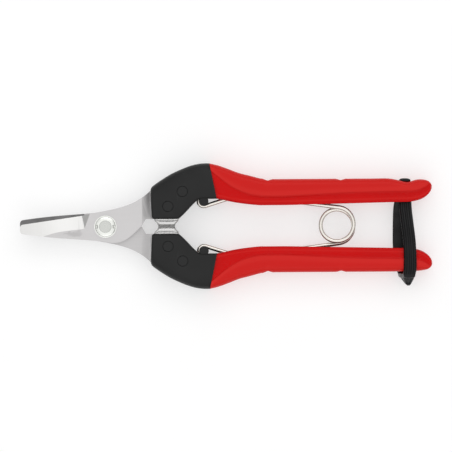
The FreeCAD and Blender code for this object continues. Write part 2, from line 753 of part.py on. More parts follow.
def spring_half():
    """Half of the one-piece wire spring: the hook round the peg, the arm, and the coil's turn down
    to the middle. The front and rear halves of the coil are parted by a narrow slit."""
    turns_angle = 360.0 + 180.0 - 2 * S.coil_lead_angle.value
    level = S.coil_pitch.value * turns_angle / 720.0
    peg = Vector(S.peg_x.value, S.peg_y.value, level)
    coil = Vector(S.coil_x.value, 0, level)
    hook_radius = (S.peg_radius + S.hook_gap + S.wire_radius).value
    lead, fall = S.hook_lead_angle.value, S.coil_lead_angle.value
    hook_end = turn_about(peg, hook_radius, S.hook_end_angle.value)
    hook_mid = turn_about(peg, hook_radius, (S.hook_end_angle.value + 270.0 + lead) / 2)
    hook_foot = turn_about(peg, hook_radius, lead - 90.0)
    coil_top = turn_about(coil, S.coil_radius.value, 90.0 - fall)
    up = Vector(math.cos(math.radians(lead)), math.sin(math.radians(lead)), 0)
    down = Vector(math.cos(math.radians(fall)), -math.sin(math.radians(fall)), 0)
    span = coil_top - hook_foot
    along = (span.x * down.y - span.y * down.x) / (up.x * down.y - up.y * down.x)
    apex = hook_foot + up * along
    cut = S.arm_bend.value * math.tan(math.radians((lead + fall) / 2))
    bend_in, bend_out = apex - up * cut, apex + down * cut
    inward = Vector(up.y, -up.x, 0)
    centre = bend_in + inward * S.arm_bend.value
    bend_mid = centre + (apex - centre).normalize() * S.arm_bend.value
    swept = turns_angle / 2 - S.coil_slit_angle.value
    helix = Part.makeHelix(S.coil_pitch.value, S.coil_pitch.value * swept / 360.0, S.coil_radius.value)
    helix.rotate(Vector(), Vector(1, 0, 0), 180)
    helix.rotate(Vector(), Vector(0, 0, 1), 90.0 - fall)
    helix.translate(coil)
    path = Part.Wire([
        Part.Arc(hook_end, hook_mid, hook_foot).toShape(),
        Part.LineSegment(hook_foot, bend_in).toShape(),
        Part.Arc(bend_in, bend_mid, bend_out).toShape(),
        Part.LineSegment(bend_out, coil_top).toShape(),
    ])
    wire = S.wire_radius.value
    start_dir = (turn_about(Vector(), 1.0, S.hook_end_angle.value + 90.0))
    profile = Part.Wire([Part.Circle(hook_end, start_dir, wire).toShape()])
    arm = path.makePipeShell([profile], True, False)
    ring = Part.Wire([Part.Circle(coil_top, down, wire).toShape()])
    turn = Part.Wire(helix.Edges).makePipeShell([ring], True, True)
    feature = doc.addObject("Part::Feature", "spring_half")
    feature.Shape = arm.fuse(turn)
    return feature


# ---------------------------------------------------------------- strap
def closing_strap():
    """Rubber loop that hangs from the front half's grip and holds the rear half's grip between
    its two strands; a finger tab ends it."""
    body = new_body("strap_bent")
    sketch = body_sketch(body, "YZ_Plane")
    inner = S.grip_half + S.strap_slack
    outer = inner + S.strap_thick
    foot = -(S.grip_outer + S.strap_slack)
    shoulder = -S.grip_inner + S.strap_thick * 2
    tab = S.strap_thick
    polyline(sketch, [
        (S.strap_top, -S.strap_neck), (S.strap_split, -S.strap_neck), (shoulder, -outer),
        (foot - S.strap_seat / 2, -outer), (foot - S.strap_seat, -S.strap_neck),
        (-S.strap_tab, -tab), (-S.strap_tab, tab), (foot - S.strap_seat, S.strap_neck),
        (foot - S.strap_seat / 2, outer), (shoulder, outer), (S.strap_split, S.strap_neck),
        (S.strap_top, S.strap_neck),
    ])
    strap = pad(body, sketch, S.strap_width)
    room = new_body("strap_room")
    room_sketch = body_sketch(room, "YZ_Plane")
    throat = S.strap_split - S.strap_thick * 2
    polyline(room_sketch, [
        (throat, -S.strap_slack), (shoulder - S.strap_thick, -inner), (foot, -inner), (foot, inner),
        (shoulder - S.strap_thick, inner), (throat, S.strap_slack),
    ])
    pad(room, room_sketch, S.strap_width * 2)
    loop = join("Cut", "strap_loop", body, room)
    half = S.strap_width / 2
    taper = slab("strap_taper", FAR, [
        (-half, S.strap_top * 2), (-half, foot - S.strap_seat), (-S.tab_width / 2, -S.strap_tab),
        (S.tab_width / 2, -S.strap_tab), (half, foot - S.strap_seat), (half, S.strap_top * 2),
    ])
    moved = doc.addObject("Part::Compound", "strap_moved")
    moved.Links = [join("Common", "strap_shaped", loop, taper)]
    bind(moved, "Placement.Base.x", S.strap_x)
    return moved


def strap_knob():
    """Knob on the saddle and its stem, moulded on the strap's upper end."""
    stem = cylinder("knob_stem", S.stem_radius, (S.strap_top + S.seat_gap, knob_seat))
    knob = cylinder("knob_head", S.knob_radius, (knob_seat, knob_seat + S.knob_height))
    both = join("Fuse", "knob_upright", stem, knob)
    laid = doc.addObject("Part::Compound", "knob_laid")
    laid.Links = [both]
    laid.Placement.Rotation = Rotation(Vector(1, 0, 0), -90)
    bind(laid, "Placement.Base.x", S.strap_x)
    return laid


# ---------------------------------------------------------------- assembly
keep(blade("front_blade", 1), "upper_blade")
keep(blade("rear_blade", -1), "lower_blade")
keep(channel("saddled_channel", True), "upper_channel")
keep(channel("plain_channel", False), "lower_channel", turned=True)
guard()
keep(sleeve("saddled_sleeve", True), "upper_sleeve")
keep(sleeve("plain_sleeve", False), "lower_sleeve", turned=True)
keep_pair(stop_pad(), "stop_pad")
keep_pair(rivets(), "rivets")
keep_pair(cylinder("peg", S.peg_radius, (-S.peg_half, S.peg_half), S.peg_x, S.peg_y), "spring_peg")
keep(pivot_bolt(), "pivot_bolt")
keep(pivot_washer(), "pivot_washer")
keep(pivot_nut(), "pivot_nut")
spring = spring_half()
keep(spring, "spring_front")
keep(spring, "spring_rear", turned=True)
keep(closing_strap(), "closing_strap")
keep(strap_knob(), "strap_knob")
doc.recompute()

for item in doc.Objects:
    if "Invalid" in item.State or "Error" in item.State:
        raise RuntimeError(f"{item.Label} failed: {item.State}")
for piece in pieces:
    if piece.Shape.isNull() or not piece.Shape.isValid() or not piece.Shape.Solids:
        raise RuntimeError(f"{piece.Label} has no valid solid")
for piece in pieces:
    piece.Shape.exportStep(f"parts/{piece.Label}.step")
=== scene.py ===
import json
import math
from types import SimpleNamespace

import bmesh
import bpy
from bpy.props import FloatProperty, FloatVectorProperty, IntProperty, PointerProperty
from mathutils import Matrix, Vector

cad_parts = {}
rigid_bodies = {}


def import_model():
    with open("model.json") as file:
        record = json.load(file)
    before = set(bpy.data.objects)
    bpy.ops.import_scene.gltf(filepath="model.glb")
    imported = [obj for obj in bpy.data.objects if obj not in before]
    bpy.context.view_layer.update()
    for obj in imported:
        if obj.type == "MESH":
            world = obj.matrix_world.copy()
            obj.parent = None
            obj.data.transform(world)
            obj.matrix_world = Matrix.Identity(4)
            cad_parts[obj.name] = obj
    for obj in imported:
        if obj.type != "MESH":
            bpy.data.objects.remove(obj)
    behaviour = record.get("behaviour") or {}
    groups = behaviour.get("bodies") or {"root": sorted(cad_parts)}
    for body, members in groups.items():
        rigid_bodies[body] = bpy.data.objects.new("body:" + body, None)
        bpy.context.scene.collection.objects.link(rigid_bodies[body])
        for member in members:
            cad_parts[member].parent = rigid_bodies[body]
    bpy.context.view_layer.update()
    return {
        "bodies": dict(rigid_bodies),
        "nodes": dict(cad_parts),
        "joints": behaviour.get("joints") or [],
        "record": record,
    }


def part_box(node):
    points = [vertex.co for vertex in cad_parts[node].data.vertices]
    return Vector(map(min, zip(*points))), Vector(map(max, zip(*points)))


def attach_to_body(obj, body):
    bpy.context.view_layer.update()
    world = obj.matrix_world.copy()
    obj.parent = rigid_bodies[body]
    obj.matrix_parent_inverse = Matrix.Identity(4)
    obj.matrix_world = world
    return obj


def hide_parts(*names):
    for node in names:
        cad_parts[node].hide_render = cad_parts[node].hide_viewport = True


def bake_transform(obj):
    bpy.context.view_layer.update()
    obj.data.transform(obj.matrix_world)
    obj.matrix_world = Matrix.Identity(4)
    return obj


bl_info = {
    "name": "Garden Snips",
    "version": (1, 0, 0),
    "blender": (4, 5, 0),
    "location": "View3D > Sidebar > Snips",
    "description": "Dresses a pair of spring-opened garden snips with finished parts and materials",
    "category": "Object",
}

# Every piece of a half is drawn in the half's frame, in millimetres: origin on the pivot, +X towards
# the handles, +Y towards this half's own handle, +Z away from the other blade. The rear half is the
# front half turned half a turn about X.
MM = 0.001
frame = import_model()
JOINTS = {joint["name"]: joint for joint in frame["record"]["behaviour"]["joints"]}
PIVOT = Vector(JOINTS["pivot"]["pos_m"])
PEG = (Vector(JOINTS["spring_rear_hook"]["pos_m"]) - PIVOT) / MM
COIL = (Vector(JOINTS["spring_coil"]["pos_m"]) - PIVOT) / MM


def node_box(name):
    """A node's lowest and highest corner from the pivot, in millimetres."""
    low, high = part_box(name)
    return (Vector(low) - PIVOT) / MM, (Vector(high) - PIVOT) / MM


SLEEVE_HIGH = node_box("upper_sleeve")[1]
GUARD_LOW, GUARD_HIGH = node_box("upper_guard_front")
BLADE_TIP_X = node_box("upper_blade")[0].x
BOLT_LOW, BOLT_HIGH = node_box("pivot_bolt")
STRAP_HIGH = node_box("closing_strap")[1]
PAD_X = sum(corner.x for corner in node_box("upper_stop_pad")) / 2


# ---------------------------------------------------------------- sizes and colours
def size(label, value, description):
    """A length property; its default is given in millimetres."""
    return FloatProperty(name=label, description=description, default=value * MM, precision=5,
                         subtype="DISTANCE", unit="LENGTH")


def slope(label, value, description):
    """An angle property; its default is given in degrees."""
    return FloatProperty(name=label, description=description, default=math.radians(value),
                         subtype="ANGLE", unit="ROTATION")


def colour(label, value, description):
    return FloatVectorProperty(name=label, description=description, default=value, subtype="COLOR",
                               min=0.0, max=1.0)


def in_mm(group):
    """A group's values by name, with its lengths in millimetres."""
    values = {}
    for key in type(group).__annotations__:
        per_unit = MM if group.bl_rna.properties[key].unit == "LENGTH" else 1.0
        values[key] = getattr(group, key) / per_unit
    return SimpleNamespace(**values)


class SnipsSleeve(bpy.types.PropertyGroup):
    """Sizes of the dipped sleeves."""

    seam_outer: size("Seam, outer", 48.1, "Pivot to the seam at the outer edge")
    seam_inner: size("Seam, inner", 51.4, "Pivot to the seam at the inner edge")
    straight_x: size("Straight grip", 76.0, "Pivot to the front of the straight grip")
    flare_x: size("Flare", 118.0, "Pivot to the rear of the straight inner edge")
    crown: size("Crown height", 29.0, "Outer edge over the centre line at the crown")
    arch: size("Arch height", 12.6, "Inner edge over the centre line at the seam")
    outer: size("Outer edge", 21.5, "Outer edge of the grip over the centre line")
    inner: size("Inner edge", 9.5, "Inner edge of the grip over the centre line")
    tail: size("Tail height", 10.6, "Inner edge over the centre line at the saddle")
    saddle_front: size("Saddle front", 130.5, "Pivot to the front of the saddle")
    saddle_x: size("Saddle", 139.2, "Pivot to the middle of the saddle")
    saddle_dip: size("Saddle dip", 1.7, "Depth of the saddle")
    heel_x: size("Heel", 146.0, "Pivot to the rear of the saddle")
    heel_drop: size("Heel drop", 0.5, "How much lower the outer edge is behind the saddle")
    end_y: size("End height", 17.4, "Height of the round end over the centre line")
    crease: size("Crease", 3.9, "Inner edge to the crease along the grip")
    crease_step: size("Crease step", 0.55, "Depth of the step at the crease")
    notch_depth: size("Notch depth", 0.6, "Depth of the two notches in the outer edge")
    notch_width: size("Notch width", 2.3, "Half width of a notch")
    notch_one: size("First notch", 74.8, "Pivot to the first notch")
    notch_two: size("Second notch", 108.6, "Pivot to the second notch")
    mouth: size("Mouth", 3.1, "Half the width of the slot along the inner side")


class SnipsGuard(bpy.types.PropertyGroup):
    """Sizes of the moulded guards."""

    seam_outer: size("Seam, outer", 48.1, "Pivot to the seam at the outer edge")
    seam_inner: size("Seam, inner", 51.4, "Pivot to the seam at the inner edge")
    arch: size("Arch height", 12.6, "Inner edge over the centre line over the spring peg")
    sink: size("Rivet sink", 2.52, "Radius of the hollow round a rivet's head")
    sink_depth: size("Sink depth", 1.1, "Depth of that hollow")
    mouth: size("Spring mouth", 3.15, "Half the width of the spring's mouth")
    lug: size("Lug", 2.15, "Radius of the lugs of the spring peg")


class SnipsSpring(bpy.types.PropertyGroup):
    """Sizes of the wire spring."""

    wire: size("Wire", 1.0, "Radius of the wire")
    peg_gap: size("Hook radius", 2.35, "Peg centre to the wire's centre line")
    coil_radius: size("Coil radius", 7.6, "Mean radius of the coil")
    pitch: size("Pitch", 2.16, "Height of one turn")
    lean: size("Lean", 0.75, "How far the coil's front and rear rings part towards their arms")
    bend: size("Bend", 30.0, "Radius of the bend in each arm")
    hook_end: slope("Hook end", 130.0, "Direction of the hook's end seen from the peg")
    lead: slope("Hook lead", 17.7, "Slope of the arm at the hook")
    fall: slope("Coil lead", 7.7, "Slope of the arm at the coil")


class SnipsStrap(bpy.types.PropertyGroup):
    """Sizes of the closing strap."""

    band: size("Band", 1.0, "Thickness of a strand between its ribs")
    rib: size("Rib", 0.5, "Height of a rib")
    knob: size("Knob", 2.75, "Radius of the knob")
    ribs: IntProperty(name="Ribs", description="Ribs along each strand", default=3, min=1)


class SnipsBlade(bpy.types.PropertyGroup):
    """Sizes of the ground faces of the blades."""

    heel_x: size("Heel", -10.9, "Pivot to the heel of the cutting edge")
    heel_edge: size("Heel height", 5.15, "Cutting edge over the centre line at the heel")
    tip_edge: size("Tip height", 1.2, "Cutting edge over the centre line at the tip")
    land: size("Land", 0.35, "Thickness left at the cutting edge")
    sheet: size("Sheet", 2.32, "Height of the face over the sliding face")
    soften: size("Softening", 0.09, "Rounding of the sharp corners")


class SnipsFinish(bpy.types.PropertyGroup):
    """Colours of the finishes."""

    red: colour("Sleeve red", (0.56, 0.0012, 0.0012), "Dipped vinyl of the handles")
    # Painted sheen: a lighter, duller red that stands in for the light the gloss catches on the broad
    # face and crease.
    red_painted_sheen: colour("Handled red", (0.63, 0.017, 0.014), "Vinyl where the hand has dulled it")
    guard: colour("Guard black", (0.0155, 0.0158, 0.0158), "Moulded guards")
    rubber: colour("Strap black", (0.005, 0.005, 0.0055), "Rubber of the strap")
    blade: colour("Blade steel", (0.475, 0.465, 0.466), "Blasted faces of the blades")
    ground: colour("Ground steel", (0.68, 0.675, 0.665), "Ground faces of the blades")
    nickel: colour("Nickel", (0.72, 0.68, 0.63), "Spring wire")
    bolt: colour("Bolt steel", (0.66, 0.67, 0.64), "Pivot bolt")


class SnipsStudio(bpy.types.PropertyGroup):
    """Camera and light."""

    view_width: size("View width", 208.7, "Width that the camera takes in")
    distance: size("Distance", 1600.0, "Camera to the floor")
    roll: slope("Roll", -0.35, "Turn of the camera about its own axis")
    side_power: FloatProperty(name="Side light", description="Power of the lower side light", default=1.4,
                              unit="POWER")
    floor_gap: size("Floor", -0.2, "Height of the floor")
    ambient: FloatProperty(name="Ambient", description="Brightness of the room", default=1.15)


# ---------------------------------------------------------------- shader maths
class Value:
    """A socket in a material's node tree; operators on it add Math nodes."""

    def __init__(self, shader, socket):
        self.shader = shader
        self.socket = socket

    def maths(self, operation, *others):
        return self.shader.node("ShaderNodeMath", {"operation": operation}, [*others])

    def __add__(self, other):
        return self.maths("ADD", self, other)

    def __sub__(self, other):
        return self.maths("SUBTRACT", self, other)

    def __mul__(self, other):
        return self.maths("MULTIPLY", self, other)

    def __pow__(self, other):
        return self.maths("POWER", self, other)

    def __rsub__(self, other):
        return self.maths("SUBTRACT", other, self)

    def __rpow__(self, other):
        return self.maths("POWER", other, self)

    def sine(self):
        return self.maths("SINE", self)

    __radd__ = __add__
    __rmul__ = __mul__


class Nodes:
    """Adds nodes to one node tree."""

    def __init__(self, tree, surface):
        self.tree = tree
        self.surface = surface

    def node(self, kind, settings=None, inputs=(), output=0):
        """Adds a node: its settings first, then its sockets' values or links."""
        made = self.tree.nodes.new(kind)
        settings = dict(settings or {})
        stops = settings.pop("stops", None)
        for key, value in settings.items():
            setattr(made, key, value)
        if stops:
            ramp = made.color_ramp
            while len(ramp.elements) < len(stops):
                ramp.elements.new(0.5)
            for element, (place, shade) in zip(ramp.elements, stops):
                element.position = place
                element.color = (shade, shade, shade, 1.0)
        pairs = inputs.items() if isinstance(inputs, dict) else enumerate(inputs)
        for key, value in pairs:
            socket = made.inputs[key]
            if isinstance(value, Value):
                self.tree.links.new(value.socket, socket)
            else:
                socket.default_value = value
        return Value(self, made.outputs[output])

    def set(self, socket, value):
        self.tree.links.new(value.socket, self.surface.inputs[socket])

    def ramp(self, value, *stops):
        return self.node("ShaderNodeValToRGB", {"stops": stops}, [value])


class Shader(Nodes):
    """A new material with one Principled surface."""

    def __init__(self, name, **settings):
        self.material = bpy.data.materials.new(name)
        self.material.use_nodes = True
        tree = self.material.node_tree
        super().__init__(tree, tree.nodes["Principled BSDF"])
        for socket, value in settings.items():
            label = socket.replace("_", " ").title().replace("Ior", "IOR")
            self.surface.inputs[label].default_value = value

    def place(self):
        """Position on the object at rest."""
        return self.node("ShaderNodeTexCoord", output="Object")

    def noise(self, scale, detail=3.0, stretch=(1.0, 1.0, 1.0), roughness=0.5):
        """Fractal noise at a number of features per metre, stretched along the axes."""
        spot = self.node("ShaderNodeMapping", {}, {"Vector": self.place(), "Scale": stretch})
        return self.node("ShaderNodeTexNoise", {}, {"Vector": spot, "Scale": scale, "Detail": detail,
                                                    "Roughness": roughness})

    def mix(self, factor, first, second):
        """Mixes two colours; a plain colour is given as three numbers."""
        first, second = [c if isinstance(c, Value) else (*c, 1.0) for c in (first, second)]
        return self.node("ShaderNodeMix", {"data_type": "RGBA"},
                         {0: factor, 6: first, 7: second}, output=2)

    def bump(self, height, distance, strength=1.0):
        """Bump from a height; the distance is in metres."""
        return self.node("ShaderNodeBump", {},
                         {"Height": height, "Distance": distance, "Strength": strength})

    def wear(self, low=0.5, high=0.56):
        """1 along sharp outer edges, 0 on flats and in hollows."""
        edge = self.node("ShaderNodeNewGeometry", output="Pointiness")
        return self.ramp(edge, (low, 0.0), (high, 1.0))


def tint(rgb, factor):
    return tuple(min(1.0, channel * factor) for channel in rgb)


def vinyl(settings):
    """Glossy dipped vinyl: faint orange peel, cloudy colour, and a painted sheen of lighter, duller red
    on the broad face and along the crease.
    """
    red = tuple(settings.red)
    s = Shader("dipped_vinyl", roughness=0.3, specular_ior_level=0.1)
    cloud = s.noise(55.0, 2.0)
    fine = s.noise(2600.0, 2.0)
    deep = s.mix(s.ramp(cloud, (0.3, 0.0), (0.7, 1.0)), tint(red, 0.95), tint(red, 1.04))
    painted_sheen = s.node("ShaderNodeAttribute", {"attribute_name": "painted_sheen"}, output="Fac")
    # Painted sheen: the sheen mask mixes the lighter, duller red into the base colour.
    s.set("Base Color", s.mix(painted_sheen, deep, tuple(settings.red_painted_sheen)))
    smear = s.noise(190.0, 4.0, stretch=(0.35, 1.0, 1.0))
    s.set("Roughness", smear * 0.12 + painted_sheen * 0.08 + 0.2)
    peel = s.noise(420.0, 2.0)
    s.set("Normal", s.bump(peel * 0.8 + fine * 0.2, 0.00004, 0.5))
    return s.material


def moulded_black(settings):
    """Satin moulded plastic with a fine eroded grain."""
    black = tuple(settings.guard)
    s = Shader("moulded_black", roughness=0.45, specular_ior_level=0.2)
    grain = s.noise(3800.0, 3.0, roughness=0.6)
    cloud = s.noise(70.0, 3.0)
    tone = s.mix(s.ramp(cloud, (0.3, 0.0), (0.7, 1.0)), tint(black, 0.88), tint(black, 1.14))
    s.set("Base Color", s.mix(s.wear(0.51, 0.58) * 0.35, tone, tint(black, 1.9)))
    s.set("Roughness", grain * 0.18 + 0.46)
    s.set("Normal", s.bump(grain, 0.000035, 0.7))
    return s.material


def strap_black(settings):
    """Moulded rubber: soft sheen, dust in the hollows, faint flow marks."""
    black = tuple(settings.rubber)
    s = Shader("strap_rubber", roughness=0.25, specular_ior_level=0.2)
    dust = s.noise(240.0, 5.0, stretch=(1.0, 0.3, 1.0))
    grain = s.noise(3000.0, 2.0)
    s.set("Base Color", s.mix(s.ramp(dust, (0.52, 0.0), (0.8, 0.6)), black, tint(black, 2.6)))
    s.set("Roughness", dust * 0.2 + 0.17)
    s.set("Normal", s.bump(grain * 0.7 + dust * 0.3, 0.00004, 0.6))
    return s.material


def blasted_steel(settings):
    """Stainless sheet with a fine bead-blasted grain, faint rolling streaks and small scuffs."""
    steel = tuple(settings.blade)
    s = Shader("blasted_steel", metallic=0.7, roughness=0.4)
    grain = s.noise(5200.0, 3.0, roughness=0.65)
    streak = s.noise(900.0, 3.0, stretch=(0.06, 1.0, 1.0))
    cloud = s.noise(60.0, 3.0)
    blend = s.ramp(streak * 0.4 + cloud * 0.3 + grain * 0.3, (0.35, 0.0), (0.65, 1.0))
    tone = s.mix(blend, tint(steel, 0.92), tint(steel, 1.07))
    s.set("Base Color", s.mix(s.wear(0.5, 0.6) * 0.6, tone, tint(steel, 1.3)))
    s.set("Roughness", grain * 0.16 + streak * 0.08 + 0.27)
    s.set("Normal", s.bump(grain, 0.00002, 0.6))
    return s.material


def ground_steel(settings):
    """Freshly ground face: bright, with fine wheel marks across the edge."""
    bright = tuple(settings.ground)
    s = Shader("ground_steel", metallic=1.0, roughness=0.24)
    marks = s.noise(2600.0, 3.0, stretch=(1.0, 0.05, 0.05))
    soft = s.noise(120.0, 2.0)
    s.set("Base Color", s.mix(marks, tint(bright, 0.97), tint(bright, 1.03)))
    s.set("Roughness", marks * 0.1 + soft * 0.08 + 0.24)
    s.set("Normal", s.bump(marks, 0.00001, 0.2))
    return s.material


def honed_steel(settings):
    """The faces that slide on each other, ground lengthwise and dulled by sap."""
    dull = tint(settings.blade, 0.36)
    s = Shader("honed_steel", metallic=1.0, roughness=0.35)
    drag = s.noise(2200.0, 3.0, stretch=(0.05, 1.0, 1.0))
    sap = s.noise(130.0, 4.0)
    s.set("Base Color", s.mix(s.ramp(sap, (0.4, 0.0), (0.7, 1.0)), dull, tint(dull, 0.7)))
    s.set("Roughness", drag * 0.15 + sap * 0.1 + 0.22)
    s.set("Normal", s.bump(drag, 0.00001, 0.5))
    return s.material


def polished_steel(settings):
    """Rolled and polished steel of the stop pads."""
    bright = tuple(settings.ground)
    s = Shader("polished_steel", metallic=0.75, roughness=0.2)
    drag = s.noise(1400.0, 3.0, stretch=(0.04, 1.0, 1.0))
    s.set("Base Color", s.mix(drag, tint(bright, 0.9), bright))
    s.set("Roughness", drag * 0.12 + 0.16)
    s.set("Normal", s.bump(drag, 0.00001, 0.4))
    return s.material


def turned_steel(settings):
    """Tumbled bolt steel with rings from the lathe; by radius from the pivot, a painted dark reflection
    on the flat of the head and a painted highlight on the chamfer and beyond.
    """
    bright = tuple(settings.bolt)
    s = Shader("turned_steel", metallic=1.0, roughness=0.26)
    across = s.node("ShaderNodeSeparateXYZ", {}, [s.place()], output="X") - PIVOT.x
    along = s.node("ShaderNodeSeparateXYZ", {}, [s.place()], output="Y") - PIVOT.y
    radius = (across * across + along * along) ** 0.5
    rings = (radius * 22000.0).sine()
    grain = s.noise(2400.0, 3.0)
    # Painted reflection and highlight: darker base within about 3 mm of the pivot, lighter outside it.
    flat = s.ramp(radius * 200.0, (0.56, 0.0), (0.62, 1.0))
    ring = s.mix(grain, tint(bright, 1.1), tint(bright, 1.3))
    s.set("Base Color", s.mix(flat, s.mix(grain, tint(bright, 0.72), tint(bright, 0.84)), ring))
    s.set("Roughness", grain * 0.14 + 0.2)
    s.set("Normal", s.bump(rings * 0.3 + grain, 0.000008, 0.5))
    return s.material


def nickel_wire(settings):
    """Nickel-plated spring wire with faint drawing marks and a warm tone."""
    nickel = tuple(settings.nickel)
    s = Shader("nickel_wire", metallic=1.0, roughness=0.17)
    draw = s.noise(1100.0, 3.0, stretch=(0.15, 1.0, 1.0))
    spots = s.noise(420.0, 4.0)
    tone = s.mix(draw, tint(nickel, 0.93), tint(nickel, 1.08))
    s.set("Base Color", s.mix(s.ramp(spots, (0.62, 0.0), (0.8, 0.5)), tone, tint(nickel, 0.7)))
    s.set("Roughness", draw * 0.1 + spots * 0.08 + 0.09)
    s.set("Normal", s.bump(draw, 0.000006, 0.5))
    return s.material


def blackened_steel(settings):
    """Black-finished rivets and pegs, a little glossier than the guard round them."""
    black = tint(settings.guard, 0.85)
    s = Shader("blackened_steel", roughness=0.4, specular_ior_level=0.14)
    grain = s.noise(2600.0, 3.0)
    s.set("Base Color", s.mix(s.wear(0.51, 0.57) * 0.4, black, tint(black, 2.6)))
    s.set("Roughness", grain * 0.2 + 0.3)
    s.set("Normal", s.bump(grain, 0.00003, 0.5))
    return s.material


def pale_floor():
    """Plain studio floor, partly lit from within so that it comes out pale."""
    s = Shader("pale_floor", roughness=0.9, emission_color=(1.0, 1.0, 1.0, 1.0), emission_strength=0.5)
    fleck = s.noise(30.0, 2.0)
    s.set("Base Color", s.mix(fleck, (0.50, 0.50, 0.50), (0.52, 0.52, 0.52)))
    return s.material


FINISHES = {}


def finish(make, settings):
    """Each finish is made once and shared by the pieces that wear it."""
    if make.__name__ not in FINISHES:
        FINISHES[make.__name__] = make(settings)
    return FINISHES[make.__name__]


# ---------------------------------------------------------------- mesh helpers
def placed(point, sign):
    """A point of a half's frame in metres in the row frame; sign is 1 for the front half."""
    x, y, z = point
    return PIVOT + Vector((x, y * sign, z * sign)) * MM


def skin(mesh, rings):
    """Faces from ring to ring, and one over each end."""
    loops = [[mesh.verts.new(p) for p in ring] for ring in rings]
    for a, c in zip(loops, loops[1:]):
        for i in range(len(a)):
            j = (i + 1) % len(a)
            mesh.faces.new((a[i], a[j], c[j], c[i]))
    mesh.faces.new(loops[0][::-1])
    mesh.faces.new(loops[-1])


def loft(name, rings, material):
    """A new object skinned over rings of points."""
    mesh = bmesh.new()
    skin(mesh, rings)
    bmesh.ops.recalc_face_normals(mesh, faces=mesh.faces)
    return new_object(name, mesh, material)


def solid(name, rings, material, body, nodes, angle=32.0):
    """A piece skinned over rings of points. It stands for CAD nodes and rides on their body."""
    piece = loft(name, rings, material)
    soften_shading(piece, angle)
    attach(piece, body, nodes)
    return piece


def new_object(name, mesh, material):
    data = bpy.data.meshes.new(name)
    mesh.to_mesh(data)
    mesh.free()
    piece = bpy.data.objects.new(name, data)
    bpy.context.scene.collection.objects.link(piece)
    data.materials.append(material)
    return piece


def soften_shading(piece, angle):
    """Smooth shading that keeps corners sharper than the angle, in degrees."""
    piece.data.shade_smooth()
    piece.data.set_sharp_from_angle(angle=math.radians(angle))


def attach(piece, body, nodes):
    """Puts a piece on its body, in place of its CAD nodes."""
    if body:
        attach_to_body(piece, body)
    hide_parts(*nodes)


def apply_modifiers(piece):
    """Bakes a piece's modifiers into its mesh."""
    graph = bpy.context.evaluated_depsgraph_get()
    baked = bpy.data.meshes.new_from_object(piece.evaluated_get(graph))
    piece.modifiers.clear()
    piece.data = baked


def dress_node(name, material):
    """Gives a CAD node its finish."""
    node = frame["nodes"][name]
    node.data.materials.clear()
    node.data.materials.append(material)


def hermite(a, slope_a, b, slope_b, t):
    """Smooth step from a to b with a slope at each end, for t from 0 to 1."""
    return (a * (2 * t**3 - 3 * t**2 + 1) + slope_a * (t**3 - 2 * t**2 + t)
            + b * (3 * t**2 - 2 * t**3) + slope_b * (t**3 - t**2))


def lerp(a, b, t):
    """Between a and b, for t from 0 to 1."""
    return a + (b - a) * t


def smooth(t):
    """Eased step from 0 to 1."""
    t = max(0.0, min(1.0, t))
    return t * t * (3 - 2 * t)


def spline(points, steps):
    """A smooth line through given points, each of any number of coordinates."""
    line = []
    for i in range(len(points) - 1):
        before, a, b, after = (points[max(i - 1, 0)], points[i], points[i + 1],
                               points[min(i + 2, len(points) - 1)])
        for n in range(steps):
            t = n / steps
            line.append([hermite(p, (q - o) / 2, q, (r - p) / 2, t)
                         for o, p, q, r in zip(before, a, b, after)])
    line.append(list(points[-1]))
    return line


# ---------------------------------------------------------------- sleeves
SHOULDER_X = 66.5   # where the outer edge starts to level out into the grip
RISE_X = 84.0       # where the inner edge starts to rise towards the tail


def sleeve_stations(s, saddled):
    """Lines across the handle in plan, each from a place on the inner edge to one on the outer edge,
    with the half thickness of the handle there: (inner x, inner y, outer x, outer y, half)."""
    half = SLEEVE_HIGH.z
    swell = GUARD_HIGH.z - half
    nominal = s.outer
    notches = []
    for x in (s.notch_one, s.notch_two):
        for side in (-1.5, -1.0, -0.5, 0.0, 0.5, 1.0, 1.5):
            at = x + side * s.notch_width
            shoulder = max(0.0, 1.0 - (at - SHOULDER_X) / (s.notch_one - SHOULDER_X))
            edge = nominal + shoulder - notch_at(s, at)
            notches.append((at, s.inner + inner_rise(s, at), at, edge, half))
    front = [
        (s.seam_inner, s.arch, s.seam_outer, s.crown - 0.05, half + swell * 0.86),
        (55.0, 11.85, 52.0, 28.0, half + swell * 0.8),
        (59.0, 11.0, 56.5, 26.4, half + swell * 0.6),
        (63.5, 10.3, 61.5, 24.5, half + swell * 0.38),
        (67.2, 9.85, SHOULDER_X, 23.2, half + swell * 0.18),
    ]
    grip = [(x, s.inner + inner_rise(s, x), x, nominal, half)
            for x in (83.0, 92.0, 100.0, s.flare_x, 124.0, s.saddle_front)]
    dip = s.saddle_dip if saddled else 0.12
    back = [
        (134.8, s.tail, 135.0, nominal - dip * 0.45, half),
        (138.6, s.tail + 0.02, s.saddle_x, nominal - dip, half),
        (142.2, s.tail + 0.3, 143.2, nominal - max(dip * 0.4, s.heel_drop * 0.5), half),
        (145.6, s.tail + 1.2, s.heel_x, nominal - s.heel_drop, half),
        (148.2, s.tail + 2.8, 148.6, nominal - s.heel_drop * 2.2, half * 0.97),
        (149.8, s.tail + 4.6, 150.0, nominal - s.heel_drop * 4.6, half * 0.86),
        (150.5, s.end_y - 0.6, SLEEVE_HIGH.x, s.end_y + 0.5, half * 0.5),
    ]
    return sorted(front + grip + notches, key=lambda row: row[2]) + back


def inner_rise(s, x):
    """How much the inner edge of the grip rises towards the rear."""
    return max(0.0, x - RISE_X) / (s.saddle_front - RISE_X) * (s.tail - s.inner - 0.1)


def notch_at(s, x):
    """Depth of the outer edge's notches at x."""
    offset = min(abs(x - s.notch_one), abs(x - s.notch_two)) / s.notch_width
    return s.notch_depth * (0.5 + 0.5 * math.cos(math.pi * min(1.0, offset)))


